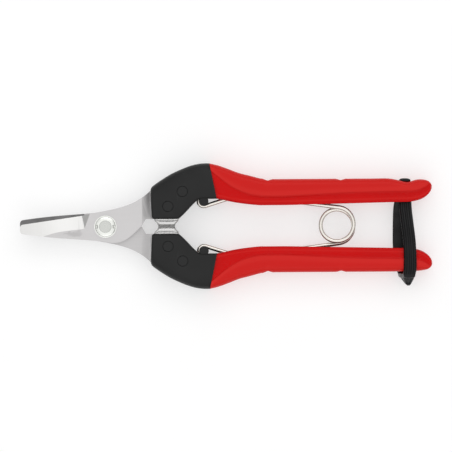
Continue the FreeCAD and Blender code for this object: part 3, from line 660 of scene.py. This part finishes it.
def crease_at(s, x, width):
    """Inner edge to the crease that runs from the crown down to the grip and along it."""
    start, end = s.seam_outer + 1.3, s.straight_x + 5.0
    fall = max(0.0, 1.0 - (x - start) / (end - start))
    swept = s.crease + (width - s.crease - 3.6) * min(1.0, fall) ** 2.8
    rise = 0.9 * smooth((x - s.straight_x) / (s.flare_x - s.straight_x))
    return min(swept + rise, width * 0.8)


def sleeve_section(s, width, half, x):
    """Section across a dipped sleeve as (distance from the inner edge, z), a closed C round the slot."""
    k = min(1.0, width / 9.0)
    crease = crease_at(s, x, width)
    mouth = s.mouth * smooth((s.heel_x - 1.5 - x) / 4.0) + 0.02
    wall = min(1.2, half * 0.22)
    deep = (half - wall) * smooth((SLEEVE_HIGH.x - 0.3 - x) / 1.2) + 0.03
    step = s.crease_step
    top = [
        (2.4 * k, mouth), (0.5 * k, mouth), (0.1 * k, lerp(mouth, half, 0.12)),
        (0.0, lerp(mouth, half, 0.32)), (0.1 * k, lerp(mouth, half, 0.5)),
        (0.5 * k, half - 1.15 * k), (1.1 * k, half - 0.9 * k), (1.7 * k, half - 0.86 * k),
        (2.2 * k, half - 0.93 * k), (2.6 * k, half - 0.98 * k), (3.0 * k, half - 0.95 * k),
        (lerp(2.9 * k, crease, 0.35), half - lerp(0.98 * k, step, 0.3)),
        (lerp(2.9 * k, crease, 0.7), half - lerp(0.98 * k, step, 0.7)),
        (crease - 0.3 * k, half - step * 0.98), (crease, half - step * 0.82),
        (crease + 0.25 * k, half - step * 0.42), (crease + 0.6 * k, half - step * 0.16),
        (crease + 1.1 * k, half - 0.03), (lerp(crease, width, 0.36), half),
    ]
    round_r = min(3.4, width * 0.36) - 2.2 * notch_at(s, x)
    flat_end = max(width - round_r, lerp(crease, width, 0.45))
    radius = width - flat_end
    arc = [(flat_end + radius * math.sin(a), half - round_r + round_r * math.cos(a))
           for a in map(math.radians, range(4, 94, 10))]
    outer = [tuple(p) for p in spline(top[1:] + arc + [(width, half * 0.2)], 2)]
    inside = [(width - 1.3 * k, deep * 0.5), (width - 1.6 * k, deep), (2.4 * k, deep)]
    ring = [(2.4 * k, mouth)] + outer
    ring += [(d, -z) for d, z in reversed(outer)] + [(2.4 * k, -mouth)]
    ring += [(d, -z) for d, z in reversed(inside)] + inside
    return ring


def build_sleeve(name, s, saddled, sign, body, material):
    """Dipped sleeve of one half: sections across the handle, skinned along it."""
    rings, painted_sheen = [], []
    for row in spline(sleeve_stations(s, saddled), 5):
        inner, outer, half = Vector(row[0:2]), Vector(row[2:4]), row[4]
        across = outer - inner
        width = across.length
        across.normalize()
        middle = (inner.x + outer.x) / 2
        section = sleeve_section(s, width, half, middle)
        rings.append([placed((*(inner + across * d), z), sign) for d, z in section])
        crease = crease_at(s, middle, width)
        painted_sheen += [painted_sheen_at(d, abs(z), width, half, crease) for d, z in section]
    piece = solid(name, rings, material, body, [name.replace("vinyl", "sleeve")],
                  angle=70.0)
    # The painted-sheen mask, one value per point, read by the vinyl's colour.
    shine = piece.data.attributes.new("painted_sheen", "FLOAT", "POINT")
    shine.data.foreach_set("value", painted_sheen)
    return piece


def painted_sheen_at(d, z, width, half, crease):
    """How much painted sheen a place of the sleeve gets, standing in for the light its gloss catches: the
    broad face most, its crest at the crease above all, the hollow beside the slot least."""
    face = smooth((d - crease + 0.5) / 0.9)
    crest = math.exp(-((d - crease - 1.3) / 1.1) ** 2) * 0.55
    rim = 0.3 * smooth((d - width + 3.6) / 2.2) * smooth((z - half * 0.35) / (half * 0.4))
    lip = 0.5 * math.exp(-((d - 1.7) / 0.45) ** 2) * smooth((z - half * 0.6) / (half * 0.2))
    return min(1.0, 0.62 * face + crest * face + rim + lip)


# ---------------------------------------------------------------- guards
RIVETS = ((28.9, 9.2), (35.6, 16.0))
MOUTH_OUTLINE = ((39.6, 0.0), (60.0, 0.0), (60.0, 24.0), (47.0, 24.0), (39.6, 17.0))
LUG_ENDS = (3.2, 6.4)   # height of a lug's ends over the middle of the handle


def guard_stations(g):
    """Lines across the guard, from its front end to the seam: (inner x, inner y, outer x, outer y, draw),
    where draw is how much the section is drawn in all round."""
    crown, start = GUARD_HIGH.y, GUARD_LOW.x
    low, arch = GUARD_LOW.y, g.arch
    front = [(start + 0.1, low, start - 0.6, 17.7, 1.5), (start + 0.12, low, start - 0.55, 17.75, 0.9),
             (start + 0.32, low, start - 0.35, 17.95, 0.42), (start + 0.75, low, start + 0.1, 18.3, 0.1),
             (start + 1.3, low, start + 0.7, 18.75, 0.0)]
    rest = [(25.5, low, 24.4, 20.4, 0.0), (29.0, low, 27.2, 22.25, 0.0), (32.0, low, 30.0, 23.9, 0.0),
            (33.9, low + 0.3, 32.6, 25.2, 0.0), (36.0, low + 2.1, 35.6, 26.5, 0.0),
            (38.6, low + 4.8, 38.6, 27.65, 0.0), (41.0, low + 7.3, 41.4, 28.42, 0.0),
            (42.9, arch - 0.4, 43.8, 28.83, 0.0), (45.4, arch, 45.6, crown - 0.04, 0.0),
            (48.4, arch, 46.9, crown, 0.0), (g.seam_inner, arch, g.seam_outer, crown - 0.05, 0.0)]
    return front + rest


def guard_section(width, half, draw):
    """Section across the guard: tight inner edge, level face, and a broad roll over the outer edge."""
    face = [(0.18, 0.0), (0.0, 0.22), (0.0, half - 1.5), (0.1, half - 0.85), (0.45, half - 0.38),
            (1.0, half - 0.1), (1.7, half), (width * 0.3, half), (width * 0.45, half),
            (width - 6.8, half - 0.02), (width - 5.4, half - 0.12), (width - 4.2, half - 0.34),
            (width - 3.1, half - 0.7), (width - 2.1, half - 1.2), (width - 1.2, half - 1.9),
            (width - 0.6, half - 2.8), (width - 0.2, half - 4.1), (width, half - 5.6),
            (width, 0.22), (width - 0.18, 0.0)]
    ring = face + [(d, -z) for d, z in face[-2:0:-1]]
    return [(draw + d * (width - 2 * draw) / width, z * (half - draw) / half) for d, z in ring]


def round_ring(x, y, z, radius, sides, sign):
    """A level ring round an axis along Z."""
    return [placed((x + radius * math.cos(a), y + radius * math.sin(a), z), sign)
            for a in (2 * math.pi * k / sides for k in range(sides))]


def plug(x, y, radius, low, high, sign, material, roll=0.0):
    """A round plug along Z, its ends rolled over by roll, in the half's frame."""
    ends = ((low, radius), (high, radius))
    if roll:
        ends = ((low, radius - roll), (low + roll * 0.3, radius - roll * 0.3), (low + roll, radius),
                (high - roll, radius), (high - roll * 0.3, radius - roll * 0.3), (high, radius - roll))
    return loft("plug", [round_ring(x, y, z, r, 40, sign) for z, r in ends], material)


def carve(piece, tool, operation="DIFFERENCE"):
    """Cuts a tool out of a piece, or joins it on, and removes the tool."""
    step = piece.modifiers.new("carve", "BOOLEAN")
    step.operation, step.object, step.solver = operation, tool, "EXACT"
    apply_modifiers(piece)
    bpy.data.objects.remove(tool)


def build_guard(name, g, sign, body, material):
    """Moulded guard of one half, with rivet sinks, the spring's mouth and the lugs of its peg."""
    half = GUARD_HIGH.z
    rings = []
    for row in spline(guard_stations(g), 5):
        inner, outer, draw = Vector(row[0:2]), Vector(row[2:4]), row[4]
        across = outer - inner
        width = across.length
        across.normalize()
        rings.append([placed((*(inner + across * d), z), sign)
                      for d, z in guard_section(width, half, draw)])
    piece = solid(name, rings, material, body,
                  [f"{name[:5]}_guard_front", f"{name[:5]}_guard_rear"])
    mouth = [[placed((x, y, z), sign) for x, y in MOUTH_OUTLINE] for z in (-g.mouth, g.mouth)]
    carve(piece, loft("mouth", mouth, material))
    for x, y in RIVETS:
        for side in (1, -1):
            low, high = sorted((side * (half - g.sink_depth), side * (half + 1.0)))
            carve(piece, plug(x, y, g.sink, low, high, sign, material))
    for side in (1, -1):
        low, high = sorted(side * level for level in LUG_ENDS)
        carve(piece, plug(PEG.x, abs(PEG.y), g.lug, low, high, sign, material, roll=0.35), "UNION")
    soften_shading(piece, 35.0)


# ---------------------------------------------------------------- blades
def rise_at(x):
    """Height that a blade gains towards its tip."""
    tip_rise, start, reach = 2.4, 11.0, 28.4
    return tip_rise * max(0.0, (abs(x) - start) / reach) ** 2


def bevel_cutter(b, sign, material):
    """What the grinding wheel takes off a blade: the long bevel along the edge and the steep shoulder
    that ends it at the heel. Stations run from past the tip to the shoulder."""
    base, full = 0.02, b.sheet
    fall = (b.heel_edge - b.tip_edge) / (abs(BLADE_TIP_X) - abs(b.heel_x))
    rows = []
    for x, foot in ((-44.0, -13.0), (-36.0, -7.4), (-30.0, -4.9), (-25.0, -3.2), (-20.0, -2.1),
                    (-15.0, -1.5), (-11.4, -1.15)):
        edge = b.tip_edge + fall * (x - BLADE_TIP_X)
        lift = rise_at(x)
        rows.append([x, edge, base + b.land + lift, x, foot, full + lift])
    rows = spline(rows, 5)
    rows.append([b.heel_x, b.heel_edge, base + b.land, -10.3, -1.0, full])
    rows.append([b.heel_x + 3.9, 6.35, full + 0.02, -9.55, -0.75, full + 0.02])
    rings = []
    for row in rows:
        edge, foot = Vector(row[:3]), Vector(row[3:])
        over = edge + (edge - foot) * 0.8
        high = full + 6.0
        ring = [foot, edge, over, (over.x, over.y, high), (foot.x, foot.y, high)]
        rings.append([placed(corner, sign) for corner in ring])
    mesh = bmesh.new()
    skin(mesh, rings)
    bmesh.ops.triangulate(mesh, faces=mesh.faces)
    bmesh.ops.recalc_face_normals(mesh, faces=mesh.faces)
    return new_object("grinding_wheel", mesh, material)


def build_blade(name, node, b, sign, body, plate, ground, honed):
    """One blade: the CAD blank, ground along its edge, honed where it slides and softened at its
    corners."""
    blank = frame["nodes"][node]
    mesh = bmesh.new()
    mesh.from_mesh(blank.data)
    bmesh.ops.remove_doubles(mesh, verts=mesh.verts, dist=0.000001)
    piece = new_object(name, mesh, plate)
    for face in piece.data.polygons:
        face.material_index = 0
    wheel = bevel_cutter(b, sign, ground)
    cut = piece.modifiers.new("grind", "BOOLEAN")
    cut.operation, cut.object, cut.solver, cut.material_mode = "DIFFERENCE", wheel, "EXACT", "TRANSFER"
    apply_modifiers(piece)
    bpy.data.objects.remove(wheel)
    piece.data.materials.append(honed)
    last = len(piece.data.materials) - 1
    for face in piece.data.polygons:
        ahead = (face.center - PIVOT).x / MM < b.heel_x + 1.0
        if ahead and face.material_index == 0 and face.normal.z * sign < -0.9:
            face.material_index = last
    edges = piece.modifiers.new("soften", "BEVEL")
    edges.width, edges.segments, edges.limit_method = b.soften * MM, 2, "ANGLE"
    edges.angle_limit, edges.harden_normals = math.radians(38.0), False
    apply_modifiers(piece)
    soften_shading(piece, 9.0)
    attach(piece, body, [node])


# ---------------------------------------------------------------- pivot bolt
def build_bolt(material):
    """Turned bolt: dished flat, rounded rim, chamfer, two driver nicks, and the shank down to the
    nut."""
    top, rim, low = BOLT_HIGH.z, BOLT_HIGH.x, BOLT_LOW.z
    seat = top - 1.3
    shape = [(0.0, top - 0.2), (1.2, top - 0.19), (2.4, top - 0.14), (2.75, top - 0.1),
             (2.9, top - 0.02), (3.05, top), (3.2, top - 0.01), (3.35, top - 0.05),
             (3.8, top - 0.18), (4.3, top - 0.34), (4.55, top - 0.46), (rim - 0.06, top - 0.6),
             (rim, top - 0.78), (rim, seat + 0.06), (rim - 0.08, seat), (2.62, seat),
             (2.6, seat - 0.05), (2.6, low + 0.35), (2.3, low + 0.05), (2.15, low), (0.0, low)]
    around = 96
    nick_half, nick_depth = math.radians(9.0), 0.55
    mesh = bmesh.new()
    loops = []
    for radius, z in shape:
        if radius == 0.0:
            loops.append([mesh.verts.new(placed((0.0, 0.0, z), 1))])
            continue
        loop = []
        for i in range(around):
            angle = 2 * math.pi * i / around
            nicked = abs(math.sin(angle)) < math.sin(nick_half) and 3.7 < radius and z > seat + 0.5
            nick = nick_depth if nicked else 0.0
            loop.append(mesh.verts.new(placed((radius * math.cos(angle), radius * math.sin(angle),
                                               z - nick), 1)))
        loops.append(loop)
    for a, c in zip(loops, loops[1:]):
        for i in range(around):
            j = (i + 1) % around
            corners = [a[i % len(a)], a[j % len(a)], c[j % len(c)], c[i % len(c)]]
            mesh.faces.new(list(dict.fromkeys(corners)))
    bmesh.ops.recalc_face_normals(mesh, faces=mesh.faces)
    piece = new_object("turned_bolt", mesh, material)
    soften_shading(piece, 34.0)
    attach(piece, "lower_half", ["pivot_bolt"])


# ---------------------------------------------------------------- stop pads
def rounded_box(half_u, half_v, power, sides):
    """Points round a rectangle with rounded corners; power 1 is an ellipse, near 0 a sharp box."""
    points = []
    for k in range(sides):
        c, n = math.cos(2 * math.pi * k / sides), math.sin(2 * math.pi * k / sides)
        points.append((half_u * math.copysign(abs(c) ** power, c),
                       half_v * math.copysign(abs(n) ** power, n)))
    return points


def build_pad(name, node, sign, body, material):
    """Rolled stop pad: drawn in to its meeting line, with a shallow roll groove and hollow ends."""
    rows = [(3.42, 5.75, 3.6), (2.95, 5.7, 3.6), (2.7, 5.6, 3.45), (2.5, 5.5, 3.3), (2.3, 5.35, 3.33),
            (1.9, 4.9, 3.42), (1.4, 4.45, 3.4), (0.9, 4.2, 3.2), (0.5, 4.05, 2.8), (0.2, 4.0, 2.1),
            (0.06, 3.95, 1.2)]
    rings = [[placed((PAD_X + u, y, v), sign) for u, v in rounded_box(half_x, half_z, 0.3, 48)]
             for y, half_x, half_z in spline(rows, 3)]
    solid(name, rings, material, body, [node], angle=40.0)


# ---------------------------------------------------------------- spring
def turned(centre, radius, angle):
    """The place at an angle round a centre, in the plane of the tool."""
    return Vector((centre.x + radius * math.cos(angle), centre.y + radius * math.sin(angle), 0.0))


def arm_line(s, level):
    """Centre line of one arm in its half's frame: hook round the peg, arm, bend and lead to the coil."""
    peg = Vector((PEG.x, abs(PEG.y), 0.0))
    coil = Vector((COIL.x, 0.0, 0.0))
    foot_angle = s.lead - math.pi / 2 + 2 * math.pi
    line = [turned(peg, s.peg_gap, lerp(s.hook_end, foot_angle, i / 14)) for i in range(15)]
    up = Vector((math.cos(s.lead), math.sin(s.lead), 0.0))
    down = Vector((math.cos(s.fall), -math.sin(s.fall), 0.0))
    start, finish_at = line[-1], turned(coil, s.coil_radius, math.pi / 2 - s.fall)
    span = finish_at - start
    along = (span.x * down.y - span.y * down.x) / (up.x * down.y - up.y * down.x)
    apex = start + up * along
    cut = s.bend * math.tan((s.lead + s.fall) / 2)
    bend_in, bend_out = apex - up * cut, apex + down * cut
    line += [start.lerp(bend_in, i / 6) for i in range(1, 6)]
    for i in range(9):
        t = i / 8
        line.append(bend_in * (1 - t) ** 2 + apex * (2 * t * (1 - t)) + bend_out * t**2)
    line += [bend_out.lerp(finish_at, i / 8) for i in range(1, 8)]
    for place in line:
        place.z = level
    return line


def spring_line(s):
    """Centre line of the wire from the front half's hook, down the coil, to the rear half's hook."""
    swept = 3 * math.pi - 2 * s.fall
    level = s.pitch * swept / (4 * math.pi)
    arm = arm_line(s, level)
    steps = 110
    coil = []
    for i in range(steps + 1):
        t = i / steps
        place = turned(Vector((COIL.x, 0.0, 0.0)), s.coil_radius, math.pi / 2 - s.fall - swept * t)
        place.z = lerp(level, -level, t)
        coil.append(place)
    rear = [Vector((p.x, -p.y, -p.z)) for p in reversed(arm)]
    line = arm + coil + rear
    for place in line:
        place.y += s.lean * place.z / level * smooth((place.x - 68.0) / 28.0)
    return line


def tube(line, radius, sides):
    """Rings of a round tube along a line, its ends drawn in to a rounded tip."""
    frames = []
    for i, place in enumerate(line):
        ahead = (line[min(i + 1, len(line) - 1)] - line[max(i - 1, 0)]).normalized()
        side = ahead.cross(Vector((0.0, 0.0, 1.0))).normalized()
        frames.append((place, ahead, side, side.cross(ahead).normalized()))
    tip = [(-0.55, 0.45), (-0.5, 0.75), (-0.28, 0.94)]
    rings = [(frames[0], back, keep) for back, keep in tip]
    rings += [(frame, 0.0, 1.0) for frame in frames]
    rings += [(frames[-1], -back, keep) for back, keep in reversed(tip)]
    angles = [2 * math.pi * k / sides for k in range(sides)]
    return [[placed(place + ahead * (radius * back) + side * (math.cos(a) * radius * keep)
                    + up * (math.sin(a) * radius * keep), 1) for a in angles]
            for (place, ahead, side, up), back, keep in rings]


def build_spring(s, material):
    """One-piece wire spring in place of both CAD spring nodes; it rides on no body."""
    piece = solid("wire_spring", tube(spring_line(s), s.wire, 18), material, None,
                  ["spring_front", "spring_rear"], angle=60.0)
    low, high = PIVOT + COIL * MM, PIVOT + COIL * MM
    low.z, high.z = PIVOT.z - 0.5 * MM, PIVOT.z + 0.5 * MM
    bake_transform(piece)


# ---------------------------------------------------------------- strap
def placed_flat(p, sign):
    """A point of the front half's frame in the row frame, mirrored to the rear face for a sign of -1."""
    return PIVOT + Vector((p.x, p.y, p.z * sign)) * MM


def strand_rings(s, rows, sign):
    """Rings of a strand; a row is (y, z, middle x, width, thickness). Ribs stand on the outer face."""
    rings = []
    rows = spline(rows, 5)
    steps = 24
    even = math.pi if s.ribs % 2 == 0 else 0.0
    for i, (y, z, x, width, thick) in enumerate(rows):
        before, after = rows[max(i - 1, 0)], rows[min(i + 1, len(rows) - 1)]
        ahead = Vector((0.0, after[0] - before[0], after[1] - before[1])).normalized()
        out = Vector((1.0, 0.0, 0.0)).cross(ahead)
        if out.z < 0:
            out = -out
        edge = thick * 0.28
        rib = s.rib * min(1.0, width / 5.0)
        ring = [(-width / 2, thick / 2 - edge)]
        for k in range(1, steps):
            u = lerp(-width / 2, width / 2, k / steps)
            ridge = 0.5 + 0.5 * math.cos(2 * math.pi * s.ribs * (u / width) + even)
            drop = edge * 0.25 if k in (1, steps - 1) else 0.0
            ring.append((u, thick / 2 - drop + rib * ridge**1.4))
        ring += [(width / 2, thick / 2 - edge), (width / 2, -thick / 2 + edge),
                 (width / 2 - edge, -thick / 2), (-width / 2 + edge, -thick / 2),
                 (-width / 2, -thick / 2 + edge)]
        centre = Vector((x, y, z))
        rings.append([placed_flat(centre + Vector((u, 0.0, 0.0)) + out * v, sign) for u, v in ring])
    return rings


def oval_rings(rows, axis):
    """Rings of a rounded block along Y or Z; a row is (along, x, across, half x, half across)."""
    rings = []
    for along, x, across, half_x, half_across in rows:
        ring = []
        for u, v in rounded_box(half_x, half_across, 0.55, 28):
            y, z = (along, across + v) if axis == "Y" else (across + v, along)
            ring.append(placed_flat(Vector((x + u, y, z)), 1))
        rings.append(ring)
    return rings


def build_strap(s, material):
    """Closing strap: knob, stem, neck, two ribbed strands, the foot under the rear handle and the tab,
    moulded into one skin."""
    top = STRAP_HIGH.y
    foot = -21.9   # the foot's inner face, just past the rear handle's outer edge
    out = STRAP_HIGH.z - s.rib * 0.8 - s.band / 2
    # y, z, the middle and width of the front strand, those of the rear strand, thickness
    rows = [(top + 0.4, 1.0, 138.4, 5.6, 137.9, 5.8, 1.7), (10.5, 1.1, 138.4, 5.7, 136.4, 6.0, 1.7),
            (7.0, 1.9, 138.5, 5.8, 135.9, 6.0, 1.4), (2.5, 3.9, 138.9, 5.8, 135.8, 6.0, s.band),
            (-3.0, 5.6, 139.5, 5.8, 135.8, 6.0, s.band), (-8.2, out, 140.0, 5.8, 135.8, 6.0, s.band),
            (-14.0, out, 140.2, 5.9, 136.1, 6.0, s.band), (-19.5, out, 140.2, 6.0, 137.2, 6.0, s.band),
            (-22.4, out - 0.7, 139.9, 5.8, 138.0, 5.8, s.band * 1.15),
            (-24.2, out - 2.6, 139.6, 5.2, 138.8, 5.2, s.band * 1.3),
            (-26.0, 1.7, 139.5, 3.9, 139.3, 3.9, s.band),
            (-27.4, 0.75, 139.6, 2.3, 139.5, 2.3, s.band * 0.8)]
    front = [(y, z, x, width, thick) for y, z, x, width, _, _, thick in rows]
    rear = [(y, z, x, width, thick) for y, z, _, _, x, width, thick in rows]
    mesh = bmesh.new()
    skin(mesh, strand_rings(s, front, 1))
    skin(mesh, strand_rings(s, rear, -1))
    # foot, tab, and knob on its stem
    skin(mesh, oval_rings([(-6.2, 137.9, foot - 1.2, 2.7, 1.1), (-4.0, 138.2, foot - 1.3, 2.8, 1.3),
                           (0.0, 138.8, foot - 1.45, 2.9, 1.45), (4.0, 139.6, foot - 1.3, 2.8, 1.3),
                           (6.2, 139.9, foot - 1.2, 2.7, 1.1)], "Z"))
    skin(mesh, oval_rings([(-22.6, 139.0, 0.0, 2.7, 4.6), (-24.3, 139.2, 0.0, 2.5, 3.3),
                           (-26.0, 139.45, 0.0, 1.9, 1.9), (-27.4, 139.6, 0.0, 1.15, 1.1),
                           (-28.0, 139.65, 0.0, 0.6, 0.6)], "Y"))
    knob_x, high = 138.2, 21.6
    skin(mesh, oval_rings([(top - 1.5, 138.5, 0.0, 1.5, 1.5), (19.2, 138.5, 0.0, 1.5, 1.5),
                           (19.7, 138.4, 0.0, 2.2, 2.2), (20.1, knob_x, 0.0, s.knob - 0.1, s.knob - 0.1),
                           (20.7, knob_x, 0.0, s.knob, s.knob),
                           (21.2, knob_x, 0.0, s.knob * 0.86, s.knob * 0.86),
                           (high - 0.1, knob_x, 0.0, s.knob * 0.55, s.knob * 0.55),
                           (high, knob_x, 0.0, s.knob * 0.25, s.knob * 0.25)], "Y"))
    bmesh.ops.recalc_face_normals(mesh, faces=mesh.faces)
    piece = new_object("moulded_strap", mesh, material)
    merge = piece.modifiers.new("mould", "REMESH")
    merge.mode, merge.voxel_size = "VOXEL", 0.2 * MM
    ease = piece.modifiers.new("ease", "SMOOTH")
    ease.factor, ease.iterations = 0.5, 3
    apply_modifiers(piece)
    piece.data.materials.clear()
    piece.data.materials.append(material)
    piece.data.shade_smooth()
    attach(piece, None, ["closing_strap", "strap_knob"])
    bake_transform(piece)


# ---------------------------------------------------------------- operators
HALVES = (("upper", 1), ("lower", -1))


class PieceOperator:
    """Shared settings of the operators."""

    bl_options = {"REGISTER", "UNDO"}


class SNIPS_OT_sleeves(PieceOperator, bpy.types.Operator):
    """Build the two dipped sleeves"""

    bl_idname = "snips.sleeves"
    bl_label = "Sleeves"

    def execute(self, context):
        scene = context.scene
        material = finish(vinyl, scene.snips_finish)
        for half, sign in HALVES:
            build_sleeve(f"{half}_vinyl", in_mm(scene.snips_sleeve), half == "upper", sign,
                         f"{half}_half", material)
        return {"FINISHED"}


class SNIPS_OT_guards(PieceOperator, bpy.types.Operator):
    """Mould the two guards"""

    bl_idname = "snips.guards"
    bl_label = "Guards"

    def execute(self, context):
        scene = context.scene
        material = finish(moulded_black, scene.snips_finish)
        for half, sign in HALVES:
            build_guard(f"{half}_moulding", in_mm(scene.snips_guard), sign, f"{half}_half", material)
        return {"FINISHED"}


class SNIPS_OT_blades(PieceOperator, bpy.types.Operator):
    """Grind and finish the two blades"""

    bl_idname = "snips.blades"
    bl_label = "Blades"

    def execute(self, context):
        scene = context.scene
        steels = [finish(make, scene.snips_finish)
                  for make in (blasted_steel, ground_steel, honed_steel)]
        for half, sign in HALVES:
            build_blade(f"{half}_ground_blade", f"{half}_blade", in_mm(scene.snips_blade), sign,
                        f"{half}_half", *steels)
        return {"FINISHED"}


class SNIPS_OT_pads(PieceOperator, bpy.types.Operator):
    """Roll the two stop pads"""

    bl_idname = "snips.pads"
    bl_label = "Stop pads"

    def execute(self, context):
        material = finish(polished_steel, context.scene.snips_finish)
        for half, sign in HALVES:
            build_pad(f"{half}_rolled_pad", f"{half}_stop_pad", sign, f"{half}_half", material)
        return {"FINISHED"}


class SNIPS_OT_bolt(PieceOperator, bpy.types.Operator):
    """Turn the pivot bolt"""

    bl_idname = "snips.bolt"
    bl_label = "Pivot bolt"

    def execute(self, context):
        build_bolt(finish(turned_steel, context.scene.snips_finish))
        return {"FINISHED"}


class SNIPS_OT_spring(PieceOperator, bpy.types.Operator):
    """Wind the spring from one wire"""

    bl_idname = "snips.spring"
    bl_label = "Spring"

    def execute(self, context):
        scene = context.scene
        build_spring(in_mm(scene.snips_spring), finish(nickel_wire, scene.snips_finish))
        return {"FINISHED"}


class SNIPS_OT_strap(PieceOperator, bpy.types.Operator):
    """Mould the closing strap"""

    bl_idname = "snips.strap"
    bl_label = "Closing strap"

    def execute(self, context):
        scene = context.scene
        build_strap(in_mm(scene.snips_strap), finish(strap_black, scene.snips_finish))
        return {"FINISHED"}


class SNIPS_OT_fittings(PieceOperator, bpy.types.Operator):
    """Finish the parts that keep their CAD shape"""

    bl_idname = "snips.fittings"
    bl_label = "Fittings"

    def execute(self, context):
        settings = context.scene.snips_finish
        wears = {"rivets": blackened_steel, "spring_peg": blackened_steel, "channel": blasted_steel}
        for half, _ in HALVES:
            for part, make in wears.items():
                dress_node(f"{half}_{part}", finish(make, settings))
        for part in ("pivot_washer", "pivot_nut"):
            dress_node(part, finish(turned_steel, settings))
        return {"FINISHED"}


SKY = ((0.0, 0.26), (0.42, 0.34), (0.66, 0.82), (0.9, 0.92), (0.97, 1.12))
SENSOR = 36.0


class SNIPS_OT_stage(PieceOperator, bpy.types.Operator):
    """Lay the floor, set the lights and aim the camera"""

    bl_idname = "snips.stage"
    bl_label = "Stage"

    def execute(self, context):
        s = context.scene.snips_studio
        mesh = bmesh.new()
        bmesh.ops.create_grid(mesh, x_segments=4, y_segments=4, size=3.0)
        floor = new_object("floor", mesh, pale_floor())
        floor.location.z = s.floor_gap
        world = bpy.data.worlds.new("room")
        world.use_nodes = True
        room = Nodes(world.node_tree, world.node_tree.nodes["Background"])
        towards = room.node("ShaderNodeTexCoord", output="Generated")
        height = room.node("ShaderNodeSeparateXYZ", {}, [towards], output="Z")
        room.set("Color", room.ramp(height, *SKY))
        room.surface.inputs["Strength"].default_value = s.ambient
        context.scene.world = world
        context.scene.view_settings.view_transform = "Standard"
        self.lamp("upper_softbox", (0.1, 0.9, 0.8), (1.4, 0.5), s.side_power * 1.6)
        self.lamp("lower_softbox", (0.1, -0.9, 0.8), (1.4, 0.5), s.side_power)
        camera = bpy.data.objects.new("camera", bpy.data.cameras.new("camera"))
        context.scene.collection.objects.link(camera)
        camera.location = (0.0, 0.0, s.distance)
        camera.rotation_euler = (0.0, 0.0, s.roll)
        camera.data.sensor_width = SENSOR
        camera.data.lens = SENSOR * (s.distance - PIVOT.z) / s.view_width
        camera.data.clip_end = 20.0
        context.scene.camera = camera
        return {"FINISHED"}

    def lamp(self, name, place, sizes, power):
        """Area light aimed at the middle of the tool."""
        light = bpy.data.lights.new(name, "AREA")
        light.shape, light.size, light.size_y, light.energy = "RECTANGLE", *sizes, power
        lamp = bpy.data.objects.new(name, light)
        bpy.context.scene.collection.objects.link(lamp)
        lamp.location = place
        lamp.rotation_euler = (Vector(place)).to_track_quat("Z", "Y").to_euler()
        lamp.visible_camera = False


STEPS = (SNIPS_OT_sleeves, SNIPS_OT_guards, SNIPS_OT_blades, SNIPS_OT_pads, SNIPS_OT_bolt,
         SNIPS_OT_spring, SNIPS_OT_strap, SNIPS_OT_fittings, SNIPS_OT_stage)
GROUPS = {"snips_sleeve": SnipsSleeve, "snips_guard": SnipsGuard, "snips_spring": SnipsSpring,
          "snips_strap": SnipsStrap, "snips_blade": SnipsBlade, "snips_finish": SnipsFinish,
          "snips_studio": SnipsStudio}


class SNIPS_PT_panel(bpy.types.Panel):
    """Lists the build steps and their sizes"""

    bl_label = "Garden Snips"
    bl_space_type = "VIEW_3D"
    bl_region_type = "UI"
    bl_category = "Snips"

    def draw(self, context):
        for step in STEPS:
            self.layout.operator(step.bl_idname)
        for name in GROUPS:
            group = getattr(context.scene, name)
            box = self.layout.box()
            box.label(text=group.bl_rna.name)
            for key in type(group).__annotations__:
                box.prop(group, key)


CLASSES = (*GROUPS.values(), *STEPS, SNIPS_PT_panel)


def register():
    for kind in CLASSES:
        bpy.utils.register_class(kind)
    for name, group in GROUPS.items():
        setattr(bpy.types.Scene, name, PointerProperty(type=group))


def unregister():
    for name in GROUPS:
        delattr(bpy.types.Scene, name)
    for kind in reversed(CLASSES):
        bpy.utils.unregister_class(kind)


def main():
    """Builds everything in order."""
    register()
    for step in STEPS:
        family, name = step.bl_idname.split(".")
        getattr(getattr(bpy.ops, family), name)()


if __name__ == "__main__":
    main()
